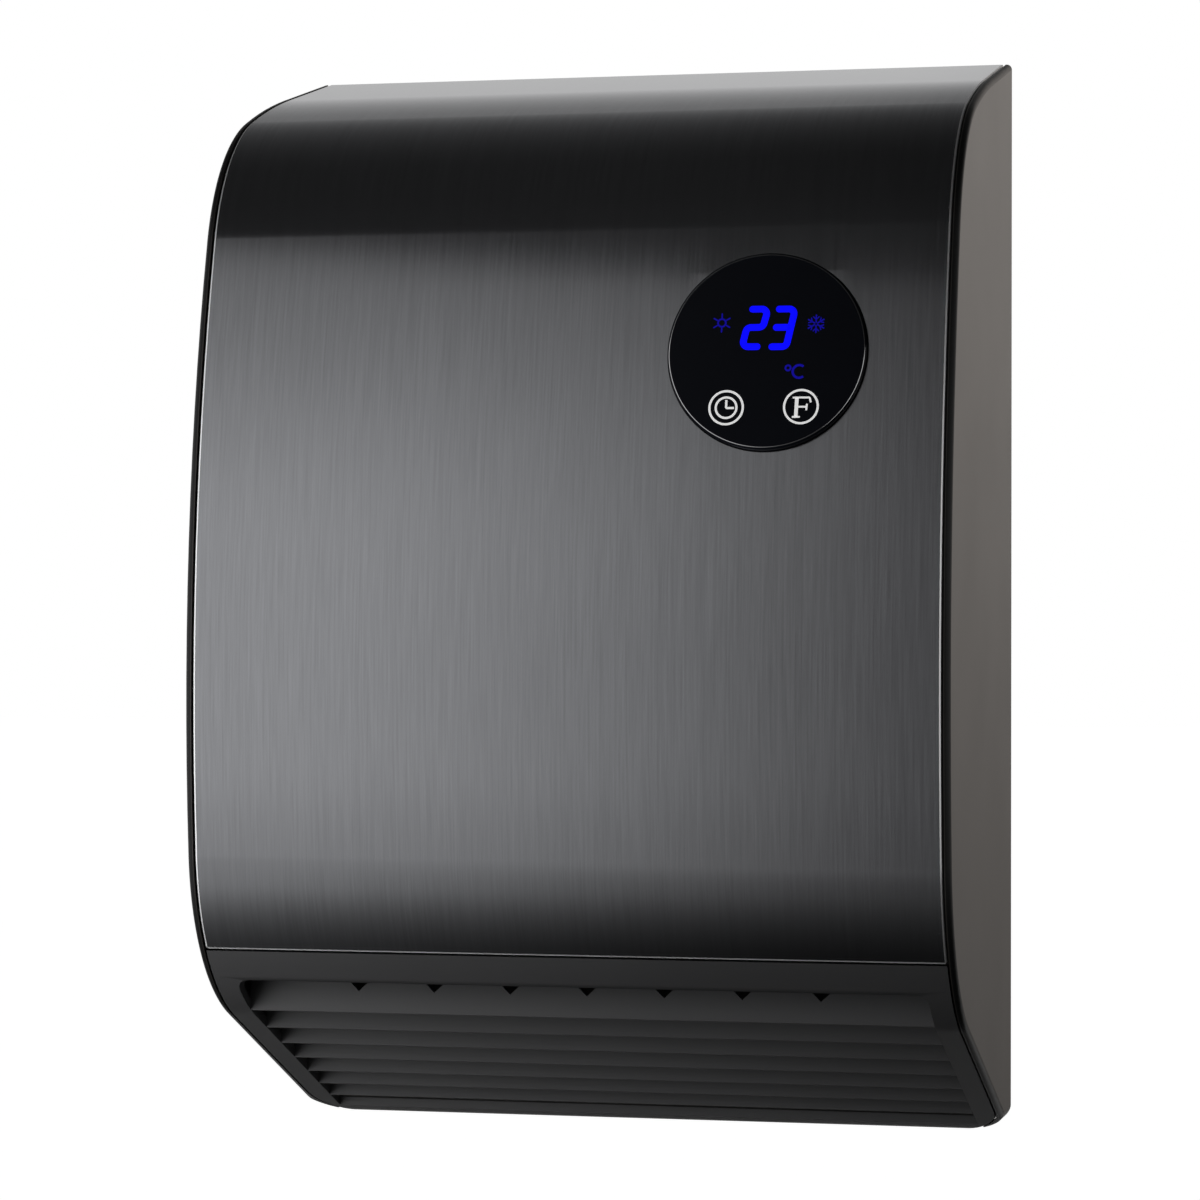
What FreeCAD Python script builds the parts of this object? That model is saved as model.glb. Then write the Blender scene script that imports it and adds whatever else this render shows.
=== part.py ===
"""Bathroom wall fan heater.

Frame: X to the right along the wall, Y into the wall, Z up. The wall is the plane y = 0 and the
heater stands in front of it at negative y. Heights count from its lowest edge; when the pieces
are written, the origin moves to the middle of the wall bracket's four holes.
"""
import FreeCAD, Part
import math
import os
from FreeCAD import Placement, Rotation, Vector

# Overall size
WIDTH = 230.0
HEIGHT = 340.0
DEPTH = 138.0

# Side profile: headings are degrees turned from straight out of the wall, going over the top
TOP_SLOPE = 13.5
TOP_BEND_R = 300.0
TOP_BEND_END = 21.0
SHOULDER_R = 60.0
SHOULDER_END = 74.5
FRONT_END = 95.5
CHIN_R = 62.0
SOLE_SLOPE = 157.0
HEEL_R = 14.0
HEEL_END = 177.0
HEEL_FLAT = 1.0
SEAM_HEIGHT = 63.0

# Clearances
CLEAR = 0.3
FIT_GAP = 0.02
RUN_GAP = 0.05
SHADOW_GAP = 0.6

# Skins
PLATE = 0.8
CARRIER = 2.0
CHEEK = 2.0
CHEEK_EDGE_R = 1.7
CHEEK_LIP = 4.0
CORNER_ACROSS = 16.0
CORNER_UP = 8.0
LIP_WALL = 2.0
CARRIER_RIB_DEPTH = 5.0
CARRIER_RIBS = 3

# Back panel
RECESS = 12.0
BACK_WALL = 2.5

# Case screws and the posts that take them
SCREW_R = 1.5
SCREW_HOLE_R = 1.8
SCREW_HEAD_R = 3.4
SCREW_HEAD = 2.2
SCREW_LENGTH = 22.0
POST_R = 4.0
POST_INSET = 11.5
SOLE_POST_R = 3.0
SOLE_POST_DROP = 7.4
LOW_POST_Z = 120.0
HIGH_POST_DROP = 44.0
TAB_HEIGHT = 14.0
TAB_BOSS = 10.0
LOW_TAB_Z = 72.0
MIDDLE_TAB_DROP = 130.0
HIGH_TAB_DROP = 78.0

# Wall bracket
BRACKET_WIDTH = 150.0
BRACKET_HEIGHT = 50.0
BRACKET_PLATE = 1.5
BRACKET_DROP = 58.0
WALL_HOLE_R = 2.6
WALL_HOLE_SPAN_X = 120.0
WALL_HOLE_SPAN_Z = 28.0
HOOK_SPAN = 90.0
HOOK_WIDTH = 12.0
HOOK_TIP = 7.5
HOOK_BELOW_TOP = 18.0

# Cable entry
CABLE_R = 4.25
GROMMET_WALL = 2.5
GROMMET_LIP = 2.0
CABLE_INSET = 37.0
CABLE_Z = 152.0

# Outlet grille
GRILLE_MARGIN = 9.4
PLAIN_BAND = 13.0
HEEL_BAND = 9.0
SLOTS = 8
SLOT_TAPER = 0.7
SLAT = 1.6
SLAT_LIP = 0.6
SLAT_LIP_TAPER = 2.5
SLAT_LEAN = 10.0
SLAT_OVERLAP = 3.0
RIB = 1.6
RIB_RISE = 4.0
BAYS = 7
BAY_PITCH = 23.8
WINDOW_DEPTH = 9.0
NOTCH_WIDTH = 15.0
NOTCH_DEPTH = 7.0
WINDOW_CORNER_R = 3.5

# Display disc
DISC_R = 29.5
DISC = 3.0
DISC_PROUD = 2.0
DISC_CHAMFER = 0.6
DISC_INSET = 55.0
DISC_DROP = 99.7
HOLDER_R = 27.2
HOLDER_WALL = 1.7
HOLDER_LENGTH = 13.0
HOLDER_FLANGE_R = 33.0
HOLDER_FLANGE = 2.0
MASK = 1.0
BOARD = 1.6
DIGITS_WIDTH = 25.1
DIGITS_HEIGHT = 19.0
DIGITS_TALL = 8.0
DIGITS_UP = 6.5
TOUCH_X = 11.5
TOUCH_DROP = 17.0
TOUCH_R = 3.0

# Fan
FAN_OUT = 72.0
FAN_Z = 158.0
IMPELLER_R = 34.0
BLADES = 28
BLADE = 0.9
BLADE_CHORD = 8.0
BLADE_SWEEP = 13.0
BLADE_CAMBER = 4.0
IMPELLER_DISC = 3.0
HUB_R = 7.0
HUB_LENGTH = 15.0
STUB_R = 2.0
MOTOR_SHAFT_R = 2.5
LEFT_BAY = 19.0
MOTOR_BAY = 71.0
END_GAP = 2.0
SIDE_PLATE = 2.0
SCROLL_GAP = 4.0
SCROLL_GROWTH = 12.0
SCROLL_WALL = 2.0
SCROLL_START = 65.0
SCROLL_END = -75.0
TONGUE_TURN = 205.0
DUCT_FOOT = 80.0
BEARING_R = 5.0
BEARING = 8.0
HOLDER_FLANGE_OUT = 13.0
CUP_WALL = 2.5
FOOT = 12.0
FOOT_LOW_Z = 100.0
FOOT_HIGH_Z = 184.0
FOOT_STAND = 10.0

# Motor
MOTOR_POST = 8.0
MOTOR_PLATE = 1.5
MOTOR_PLATE_HALF = 22.0
OUTER_PLATE_HALF = 14.3
MOTOR_POST_OFFSET = 17.0
STATOR_BACK = 8.5
STATOR = 18.0
STATOR_HALF = 24.0
STATOR_LIMB = 9.0
STATOR_DROP = 52.0
STATOR_WINDOW = 19.0
ROTOR_R = 14.0
AIR_GAP = 0.5
ROTOR_RING = 3.0
COIL_BUILD = 8.0
MOTOR_BEARING = 6.0

# Heating element
HEATER_THICK = 26.0
HEATER_CAP = 10.0
HEATER_TUBES = 5
TUBE = 2.5
FIN_PITCH = 4.0
FIN = 0.3
TERMINALS = 3
TERMINAL = 0.8
TERMINAL_WIDTH = 6.3
TERMINAL_PITCH = 9.5
TERMINAL_OUT = 11.0
LEDGE = 2.0
LEDGE_WIDTH = 6.0
CUTOUT_R = 7.5
CUTOUT_TALL = 9.0
FUSE_R = 2.0
FUSE_LENGTH = 11.0

# Control board
PCB_WIDTH = 110.0
PCB_LEFT = 27.0
PCB_ABOVE_INTAKE = 6.0
PCB_DROP = 48.0
PCB_STAND = 11.5
PCB_BOSS_R = 3.5
PCB_SCREW_INSET = 6.0
PCB_SCREW_R = 1.3
PCB_SCREW_LENGTH = 9.0
PART_GAP = 3.0
RELAY = (15.0, 19.0, 15.0)
CAPACITOR = (10.0, 26.0, 16.0)
TRANSFORMER = (30.0, 26.0, 26.0)
BUZZER_R = 4.5
BUZZER_TALL = 8.0
TERMINAL_BLOCK = (34.0, 18.0, 18.0)
TERMINAL_WAYS = 3
TERMINAL_BORE_R = 2.2

# Intake grille in the back
INTAKE_WIDTH = 116.0
INTAKE_HEIGHT = 56.0
INTAKE_Z = 150.0
INTAKE_FRAME = 6.0
INTAKE_BAR = 3.0
INTAKE_PITCH = 8.0

OVERRUN = 40.0

# Depths below the outer surface
CARRIER_OUTER = PLATE + CLEAR
CARRIER_INNER = CARRIER_OUTER + CARRIER
INNER = CARRIER_INNER + CLEAR
LIP_INNER = INNER + LIP_WALL

# Places that several pieces share
HALF = WIDTH / 2
CHEEK_FACE = HALF - CHEEK
INNER_HALF = CHEEK_FACE - CLEAR
PLATE_HALF = CHEEK_FACE - SHADOW_GAP
PANEL_Y = -RECESS - BACK_WALL
POST_X = HALF - POST_INSET
HIGH_POST_Z = HEIGHT - HIGH_POST_DROP
TAB_HEIGHTS = (LOW_TAB_Z, HEIGHT - MIDDLE_TAB_DROP, HEIGHT - HIGH_TAB_DROP)
FAN_Y = -FAN_OUT
LEFT_PLATE_IN = -HALF + LEFT_BAY + SIDE_PLATE
RIGHT_PLATE_OUT = HALF - MOTOR_BAY
RIGHT_PLATE_IN = RIGHT_PLATE_OUT - SIDE_PLATE
LEFT_PLATE_OUT = LEFT_PLATE_IN - SIDE_PLATE
FAN_MIDDLE = (LEFT_PLATE_IN + RIGHT_PLATE_IN) / 2
DISC_X = HALF - DISC_INSET
DISC_Z = HEIGHT - DISC_DROP
BRACKET_TOP = HEIGHT - BRACKET_DROP
HOOK_Z = BRACKET_TOP - HOOK_BELOW_TOP
CABLE_X = HALF - CABLE_INSET
ORIGIN_Z = BRACKET_TOP - BRACKET_HEIGHT / 2
GRILLE_HALF = HALF - GRILLE_MARGIN


def box(x0, x1, y0, y1, z0, z1):
    """Block between two corners."""
    return Part.makeBox(x1 - x0, y1 - y0, z1 - z0, Vector(x0, y0, z0))


def rod_x(radius, x0, x1, y, z):
    """Round bar along X."""
    return Part.makeCylinder(radius, x1 - x0, Vector(x0, y, z), Vector(1, 0, 0))


def rod_y(radius, y0, y1, x, z):
    """Round bar along Y."""
    return Part.makeCylinder(radius, y1 - y0, Vector(x, y0, z), Vector(0, 1, 0))


def tube_x(outer, inner, x0, x1, y, z):
    """Tube along X."""
    return rod_x(outer, x0, x1, y, z).cut(rod_x(inner, x0, x1, y, z))


def prism_x(points, x0, x1):
    """Straight-sided outline in the (y, z) plane, drawn out along X."""
    corners = [Vector(x0, y, z) for y, z in points]
    face = Part.Face(Part.makePolygon(corners + corners[:1]))
    return face.extrude(Vector(x1 - x0, 0, 0))


def joined(first, *others):
    """One solid from several that meet, with its flush faces merged where that stays sound."""
    whole = first.multiFuse(list(others))
    merged = whole.removeSplitter()
    return merged if merged.isValid() else whole


def mirrored(shape):
    """The same shape on the other side of the middle plane."""
    return shape.mirror(Vector(0, 0, 0), Vector(1, 0, 0))


def profile_segments():
    """Lines and arcs of the side profile, with the three lengths that close it worked out.

    The straight at the top, the front's radius and the straight sole follow from the height,
    the depth and the two ends lying on the wall.
    """
    turns = (TOP_SLOPE, TOP_BEND_END, SHOULDER_END, FRONT_END, SOLE_SLOPE, HEEL_END)
    slope, bend, shoulder, front, sole, heel = (math.radians(turn) for turn in turns)
    top_reach = DEPTH - TOP_BEND_R * (math.sin(bend) - math.sin(slope))
    top_reach -= SHOULDER_R * (math.sin(shoulder) - math.sin(bend))
    sole_reach = DEPTH - CHIN_R * (math.sin(front) - math.sin(sole))
    sole_reach -= HEEL_R * (math.sin(sole) - math.sin(heel)) - HEEL_FLAT * math.cos(heel)
    drop = HEIGHT - TOP_BEND_R * (math.cos(slope) - math.cos(bend))
    drop -= SHOULDER_R * (math.cos(bend) - math.cos(shoulder))
    drop -= CHIN_R * (math.cos(front) - math.cos(sole))
    drop -= HEEL_R * (math.cos(sole) - math.cos(heel)) + HEEL_FLAT * math.sin(heel)
    top_share = (1 - math.sin(shoulder)) / math.cos(slope)
    sole_share = -(1 - math.sin(front)) / math.cos(sole)
    drop -= math.sin(slope) * top_reach / math.cos(slope) - math.sin(sole) * sole_reach / math.cos(sole)
    share = math.cos(shoulder) - math.cos(front) - math.sin(slope) * top_share - math.sin(sole) * sole_share
    front_radius = drop / share
    top_straight = top_reach / math.cos(slope) - top_share * front_radius
    sole_straight = -sole_reach / math.cos(sole) - sole_share * front_radius
    return [
        ("line", top_straight, slope),
        ("arc", TOP_BEND_R, bend),
        ("arc", SHOULDER_R, shoulder),
        ("arc", front_radius, front),
        ("arc", CHIN_R, sole),
        ("line", sole_straight, sole),
        ("arc", HEEL_R, heel),
        ("line", HEEL_FLAT, heel),
    ]


SEGMENTS = profile_segments()
PROFILE_LENGTH = 0.0
turned = math.radians(TOP_SLOPE)
for kind, measure, heading in SEGMENTS:
    PROFILE_LENGTH += measure if kind == "line" else measure * (heading - turned)
    turned = heading


def step(point, heading, kind, measure, turn_to):
    """End of a line or an arc that starts at a (y, z) point with a heading."""
    y, z = point
    if kind == "line":
        return y - measure * math.cos(heading), z - measure * math.sin(heading)
    return (
        y - measure * (math.sin(turn_to) - math.sin(heading)),
        z + measure * (math.cos(turn_to) - math.cos(heading)),
    )


def at_station(station):
    """Point (y, z) and heading on the outer profile, by length along it from the wall at the top."""
    point = (0.0, HEIGHT)
    heading = math.radians(TOP_SLOPE)
    for kind, measure, turn_to in SEGMENTS:
        length = measure if kind == "line" else measure * (turn_to - heading)
        if station <= length:
            if kind == "line":
                return step(point, heading, kind, station, heading), heading
            reached = heading + station / measure
            return step(point, heading, kind, measure, reached), reached
        point = step(point, heading, kind, measure, turn_to)
        station -= length
        heading = turn_to
    return point, heading


def station_at_height(height):
    """Length along the profile, from the wall at the top, where it passes a height."""
    low = 0.0
    high = PROFILE_LENGTH
    for _ in range(60):
        middle = (low + high) / 2
        if at_station(middle)[0][1] > height:
            low = middle
        else:
            high = middle
    return low


def inward(point, heading, depth):
    """Point a depth below the outer surface."""
    return point[0] + depth * math.sin(heading), point[1] - depth * math.cos(heading)


def chain(offset):
    """Edges of the profile moved inwards, starting and ending behind the wall."""
    heading = math.radians(TOP_SLOPE)
    start = inward((0.0, HEIGHT), heading, offset)
    edges = []
    corner = step(start, heading, "line", -OVERRUN, heading)
    point = start
    last = len(SEGMENTS) - 1
    for index, (kind, measure, turn_to) in enumerate(SEGMENTS):
        if kind == "line":
            reach = measure + (OVERRUN if index == last else 0.0)
            end = step(point, turn_to, kind, reach, turn_to)
            edges.append(Part.LineSegment(Vector(0, *corner), Vector(0, *end)).toShape())
        else:
            radius = measure - offset
            middle = step(point, heading, kind, radius, (heading + turn_to) / 2)
            end = step(point, heading, kind, radius, turn_to)
            edges.append(Part.Arc(Vector(0, *corner), Vector(0, *middle), Vector(0, *end)).toShape())
        heading = turn_to
        point = end
        corner = end
    return edges


def ends(edges):
    """First and last point of a chain."""
    return edges[0].firstVertex(True).Point, edges[-1].lastVertex(True).Point


def before_wall(shape):
    """What lies on the room's side of the wall plane."""
    return shape.common(box(-WIDTH, WIDTH, -2 * DEPTH, 0, -HEIGHT, 2 * HEIGHT))


def drawn_out(edges, x0, x1):
    """Solid from a closed set of profile edges, between two widths, in front of the wall."""
    face = Part.Face(Part.Wire(Part.sortEdges(edges)[0]))
    face.translate(Vector(x0, 0, 0))
    return before_wall(face.extrude(Vector(x1 - x0, 0, 0)))


def core(offset, x0, x1):
    """Everything more than an offset inside the profile."""
    edges = chain(offset)
    start, end = ends(edges)
    return drawn_out(edges + [Part.LineSegment(end, start).toShape()], x0, x1)


def skin(outer, inner, x0, x1):
    """Wall between two depths below the profile."""
    outside = chain(outer)
    inside = chain(inner)
    first, last = ends(outside)
    inner_first, inner_last = ends(inside)
    links = [Part.LineSegment(first, inner_first).toShape(), Part.LineSegment(last, inner_last).toShape()]
    return drawn_out(outside + inside + links, x0, x1)


def above(shape, height):
    """Part of a shape over a level cut."""
    return shape.common(box(-WIDTH, WIDTH, -2 * DEPTH, 0, height, 2 * HEIGHT))


def below(shape, height):
    """Part of a shape under a level cut."""
    return shape.common(box(-WIDTH, WIDTH, -2 * DEPTH, 0, -HEIGHT, height))


def post(radius, x, z, depth):
    """Round post from the back panel to a depth below the outer surface."""
    bar = rod_y(radius, -2 * DEPTH, PANEL_Y, x, z)
    return bar.common(core(depth, x - 2 * radius, x + 2 * radius))


def screw_bore(x, z):
    """Blind hole that a case screw runs into."""
    return rod_y(SCREW_R + RUN_GAP, PANEL_Y - SCREW_LENGTH, PANEL_Y, x, z)


def case_screw(x, z):
    """Pan-head screw, driven from the recess in the back."""
    head = rod_y(SCREW_HEAD_R, -RECESS, -RECESS + SCREW_HEAD, x, z)
    rim = [edge for edge in head.Edges if abs(edge.BoundBox.YMin + RECESS - SCREW_HEAD) < FIT_GAP]
    head = head.makeFillet(SCREW_HEAD / 3, rim[:1])
    tip = PANEL_Y - SCREW_LENGTH + CLEAR
    return joined(head, rod_y(SCREW_R, tip, -RECESS, x, z))


def on_disc(shape):
    """Moves a piece drawn about the Z axis to the disc, facing out of the front."""
    point, heading = at_station(station_at_height(DISC_Z))
    shape.Placement = Placement(Vector(DISC_X, *point), Rotation(Vector(1, 0, 0), math.degrees(heading)))
    return shape


def drum(radius, z0, z1, x=0.0, y=0.0):
    """Round piece in the disc's own frame."""
    return Part.makeCylinder(radius, z1 - z0, Vector(x, y, z0))


CORNER_POSTS = [(side * POST_X, z) for side in (-1, 1) for z in (LOW_POST_Z, HIGH_POST_Z)]
SOLE_POSTS = [(side * POST_X, SEAM_HEIGHT - SOLE_POST_DROP) for side in (-1, 1)]
CHEEK_TABS = [(side * POST_X, z) for side in (-1, 1) for z in TAB_HEIGHTS]
FEET = [
    (x, z)
    for x in (LEFT_PLATE_OUT - FOOT / 2, RIGHT_PLATE_OUT + FOOT / 2)
    for z in (FOOT_LOW_Z, FOOT_HIGH_Z)
]
PCB_X0 = -HALF + PCB_LEFT
PCB_Z0 = INTAKE_Z + INTAKE_HEIGHT + PCB_ABOVE_INTAKE
PCB_Z1 = HEIGHT - PCB_DROP
PCB_BACK = PANEL_Y - PCB_STAND
PCB_FRONT = PCB_BACK - BOARD
PCB_SCREWS = [
    (x, z)
    for x in (PCB_X0 + PCB_SCREW_INSET, PCB_X0 + PCB_WIDTH - PCB_SCREW_INSET)
    for z in (PCB_Z0 + PCB_SCREW_INSET, PCB_Z1 - PCB_SCREW_INSET)
]
FOOT_BACK = PANEL_Y - FOOT_STAND


def back_panel():
    """Back of the case, set in from the wall: holes for its screws and hooks, bosses for what it carries."""
    panel = core(INNER, -INNER_HALF, INNER_HALF)
    panel = panel.common(box(-HALF, HALF, PANEL_Y, -RECESS, -HEIGHT, 2 * HEIGHT))
    bosses = [rod_y(PCB_BOSS_R, PCB_BACK, PANEL_Y, x, z) for x, z in PCB_SCREWS]
    bosses += [rod_y(POST_R, FOOT_BACK, PANEL_Y, x, z) for x, z in FEET]
    panel = joined(panel, *bosses)
    cuts = [rod_y(SCREW_HOLE_R, PANEL_Y, -RECESS, x, z) for x, z in CORNER_POSTS + SOLE_POSTS + CHEEK_TABS]
    cuts += [rod_y(PCB_SCREW_R + RUN_GAP, PCB_BACK, PANEL_Y, x, z) for x, z in PCB_SCREWS]
    cuts += [rod_y(PCB_SCREW_R + RUN_GAP, FOOT_BACK, PANEL_Y, x, z) for x, z in FEET]
    cuts.append(intake_window(0.0, PANEL_Y, -RECESS))
    cuts.append(rod_y(CABLE_R + GROMMET_WALL, PANEL_Y, -RECESS, CABLE_X, CABLE_Z))
    for side in (-1, 1):
        x = side * HOOK_SPAN / 2
        half = HOOK_WIDTH / 2 + SHADOW_GAP
        low = HOOK_Z - HOOK_TIP - CLEAR
        cuts.append(box(x - half, x + half, PANEL_Y, -RECESS, low, HOOK_Z + BRACKET_PLATE))
    return rounded_below(panel.cut(Part.makeCompound(cuts)), CHEEK + CLEAR)


def intake_window(margin, y0, y1):
    """Opening behind the fan, grown or shrunk by a margin."""
    half = INTAKE_WIDTH / 2 + margin
    low = INTAKE_Z - margin
    return box(FAN_MIDDLE - half, FAN_MIDDLE + half, y0, y1, low, INTAKE_Z + INTAKE_HEIGHT + margin)


def intake_grille():
    """Snap-in frame of upright bars that fills the opening in the back panel."""
    plug = intake_window(-CLEAR, PANEL_Y, -RECESS)
    flange = intake_window(INTAKE_FRAME / 2, PANEL_Y - BACK_WALL, PANEL_Y)
    whole = joined(plug, flange)
    opening = INTAKE_WIDTH - 2 * INTAKE_FRAME
    gaps = int((opening + INTAKE_BAR) / INTAKE_PITCH)
    first = FAN_MIDDLE - (gaps * INTAKE_PITCH - INTAKE_BAR) / 2
    low = INTAKE_Z + INTAKE_FRAME
    high = INTAKE_Z + INTAKE_HEIGHT - INTAKE_FRAME
    slots = []
    for index in range(gaps):
        x = first + index * INTAKE_PITCH
        slots.append(box(x, x + INTAKE_PITCH - INTAKE_BAR, PANEL_Y - BACK_WALL, -RECESS, low, high))
    return whole.cut(Part.makeCompound(slots))


def side_cheek():
    """Right side panel: face, rounded rim, inner lip, curled lower corner and the screwed tabs."""
    face = core(0.0, CHEEK_FACE, HALF)
    rim = []
    for edge in face.Edges:
        limits = edge.BoundBox
        if limits.XMin > HALF - FIT_GAP and limits.YMin < -FIT_GAP:
            rim.append(edge)
    face = face.makeFillet(CHEEK_EDGE_R, rim)
    lip = skin(INNER, LIP_INNER, CHEEK_FACE - CHEEK_LIP, CHEEK_FACE)
    lip = lip.common(box(0, WIDTH, -2 * DEPTH, PANEL_Y - CLEAR, -HEIGHT, 2 * HEIGHT))
    curl = core(0.0, HALF - CORNER_ACROSS / 2, CHEEK_FACE).common(corner_cutter(CHEEK))
    pieces = [lip, curl]
    for z in TAB_HEIGHTS:
        half = TAB_HEIGHT / 2
        pieces.append(box(POST_X - POST_R, CHEEK_FACE, PANEL_Y - BACK_WALL, PANEL_Y, z - half, z + half))
        pieces.append(rod_y(POST_R, PANEL_Y - BACK_WALL - TAB_BOSS, PANEL_Y - BACK_WALL, POST_X, z))
    cheek = joined(face, *pieces)
    bores = [screw_bore(POST_X, z) for z in TAB_HEIGHTS]
    return cheek.cut(Part.makeCompound(bores)).cut(corner_cutter(0.0))


def corner_cutter(inset):
    """What the rounded lower right corner at the wall leaves over, inset from the side face."""
    middle = Vector(HALF - CORNER_ACROSS, -DEPTH, CORNER_UP)
    across = middle + Vector(CORNER_ACROSS - inset, 0, 0)
    curve = Part.Ellipse(across, middle - Vector(0, 0, CORNER_UP), middle)
    block = box(middle.x, WIDTH, -DEPTH, 0, -HEIGHT, CORNER_UP)
    return block.cut(Part.Face(Part.Wire(curve.toShape())).extrude(Vector(0, DEPTH, 0)))


def rounded_below(shape, inset):
    """Shape with both lower corners at the wall taken off."""
    corner = corner_cutter(inset)
    return shape.cut(corner).cut(mirrored(corner))


def front_carrier():
    """Inner moulding that backs the plate, with ribs, posts and a lip behind the grille."""
    shell = above(skin(CARRIER_OUTER, CARRIER_INNER, -INNER_HALF, INNER_HALF), SEAM_HEIGHT)
    reach = CARRIER_INNER + CARRIER_RIB_DEPTH
    pieces = []
    half = INNER_HALF - CHEEK_LIP - CLEAR
    pitch = (half + DISC_X - HOLDER_FLANGE_R) / CARRIER_RIBS
    for index in range(CARRIER_RIBS):
        x = pitch * (index + 0.5) - half
        rib = above(skin(CARRIER_OUTER, reach, x - CARRIER / 2, x + CARRIER / 2), SEAM_HEIGHT)
        pieces.append(rib.common(box(-WIDTH, WIDTH, -2 * DEPTH, PANEL_Y - CLEAR, -HEIGHT, 2 * HEIGHT)))
    lip = below(above(skin(INNER, LIP_INNER, -half, half), SEAM_HEIGHT - POST_R), SEAM_HEIGHT + LIP_WALL)
    root = below(above(skin(CARRIER_OUTER, LIP_INNER, -half, half), SEAM_HEIGHT), SEAM_HEIGHT + LIP_WALL)
    pieces += [lip, root]
    pieces += [post(POST_R, x, z, CARRIER_OUTER + CLEAR) for x, z in CORNER_POSTS]
    carrier = joined(shell, *pieces)
    cuts = [screw_bore(x, z) for x, z in CORNER_POSTS]
    cuts.append(on_disc(drum(HOLDER_R + CLEAR, -HOLDER_LENGTH, HOLDER_LENGTH)))
    return carrier.cut(Part.makeCompound(cuts))


def front_plate():
    """Thin brushed sheet with the round hole for the disc."""
    sheet = above(skin(0.0, PLATE, -PLATE_HALF, PLATE_HALF), SEAM_HEIGHT)
    return sheet.cut(on_disc(drum(DISC_R + SHADOW_GAP / 2, -HOLDER_LENGTH, HOLDER_LENGTH)))


def outlet_grille():
    """Lower front moulding: frame, slats that hang behind one another, ribs between them, posts."""
    top = SEAM_HEIGHT - SHADOW_GAP
    window_start = station_at_height(SEAM_HEIGHT) + PLAIN_BAND
    window_end = PROFILE_LENGTH - HEEL_BAND
    first_pitch = 2 * (window_end - window_start) / SLOTS / (1 + SLOT_TAPER)
    fall = first_pitch * (1 - SLOT_TAPER) / (SLOTS - 1)
    stations = [window_start + index * (first_pitch - fall * (index - 1) / 2) for index in range(SLOTS + 1)]
    frame = below(skin(0.0, CARRIER_INNER, -PLATE_HALF, PLATE_HALF), top)
    lips = [at_station(station)[0] for station in stations]
    frame = frame.cut(window_block(lips[0], lips[-1]))
    pieces = [slat(lip, upper_lip, upper_lip is lips[0]) for upper_lip, lip in zip(lips[:-2], lips[1:-1])]
    pieces += [grille_rib(lips, (index - BAYS / 2) * BAY_PITCH) for index in range(BAYS + 1)]
    pieces += [post(SOLE_POST_R, x, z, CARRIER_OUTER) for x, z in SOLE_POSTS]
    grille = joined(frame, *pieces)
    bores = [screw_bore(x, z) for x, z in SOLE_POSTS]
    return rounded_below(grille.cut(Part.makeCompound(bores)), CHEEK + SHADOW_GAP)


def window_block(first, last):
    """Cutter for the one window that all the slats hang in."""
    outline = [
        (first[0] - DEPTH, first[1]),
        (first[0] + WINDOW_DEPTH, first[1]),
        (last[0], last[1] + WINDOW_DEPTH),
        (last[0], last[1] - WINDOW_DEPTH),
        (last[0] - DEPTH, last[1] - WINDOW_DEPTH),
    ]
    block = prism_x(outline, -GRILLE_HALF, GRILLE_HALF)
    corners = []
    for edge in block.Edges:
        limits = edge.BoundBox
        level = limits.ZLength < FIT_GAP and limits.XLength < FIT_GAP
        if level and abs(limits.ZMin - first[1]) < FIT_GAP:
            corners.append(edge)
    return block.makeFillet(WINDOW_CORNER_R, corners)


def slat_reach(lip, upper_lip):
    """Height of a slat over its lip and how far it leans back over that height."""
    height = upper_lip[1] - lip[1] + SLAT_OVERLAP
    return height, height * math.tan(math.radians(SLAT_LEAN))


def slat(lip, upper_lip, notched):
    """One slat: a thin lip on the front surface, leaning back until it stands behind the slat above."""
    height, lean = slat_reach(lip, upper_lip)
    undercut = SLAT_LIP * math.tan(math.pi - math.radians(SOLE_SLOPE))
    outline = [
        (lip[0], lip[1]),
        (lip[0] + SLAT_LIP, lip[1] - undercut),
        (lip[0] + SLAT + lean * SLAT_LIP_TAPER / height, lip[1] + SLAT_LIP_TAPER),
        (lip[0] + SLAT + lean, lip[1] + height),
        (lip[0] + lean, lip[1] + height),
    ]
    blade = prism_x(outline, -GRILLE_HALF - CLEAR, GRILLE_HALF + CLEAR)
    if not notched:
        return blade
    top = lip[1] + height
    notches = []
    for index in range(BAYS):
        x = (index - (BAYS - 1) / 2) * BAY_PITCH
        corners = [
            Vector(x - NOTCH_WIDTH / 2, -2 * DEPTH, top),
            Vector(x + NOTCH_WIDTH / 2, -2 * DEPTH, top),
            Vector(x, -2 * DEPTH, top - NOTCH_DEPTH),
        ]
        face = Part.Face(Part.makePolygon(corners + corners[:1]))
        notches.append(face.extrude(Vector(0, 2 * DEPTH, 0)))
    return blade.cut(Part.makeCompound(notches))


def grille_rib(lips, x):
    """Upright rib behind the slats, stepping down from the frame through the top of every slat."""
    rise = SLAT_OVERLAP / 2
    path = [(lips[0][0] + SLAT_LIP, lips[0][1] + rise)]
    for upper_lip, lip in zip(lips[:-2], lips[1:-1]):
        lean = slat_reach(lip, upper_lip)[1]
        path.append((lip[0] + lean + SLAT / 2, upper_lip[1] + rise))
    around = path + [(y, z + RIB_RISE) for y, z in reversed(path)]
    return prism_x(around, x - RIB / 2, x + RIB / 2)


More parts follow.
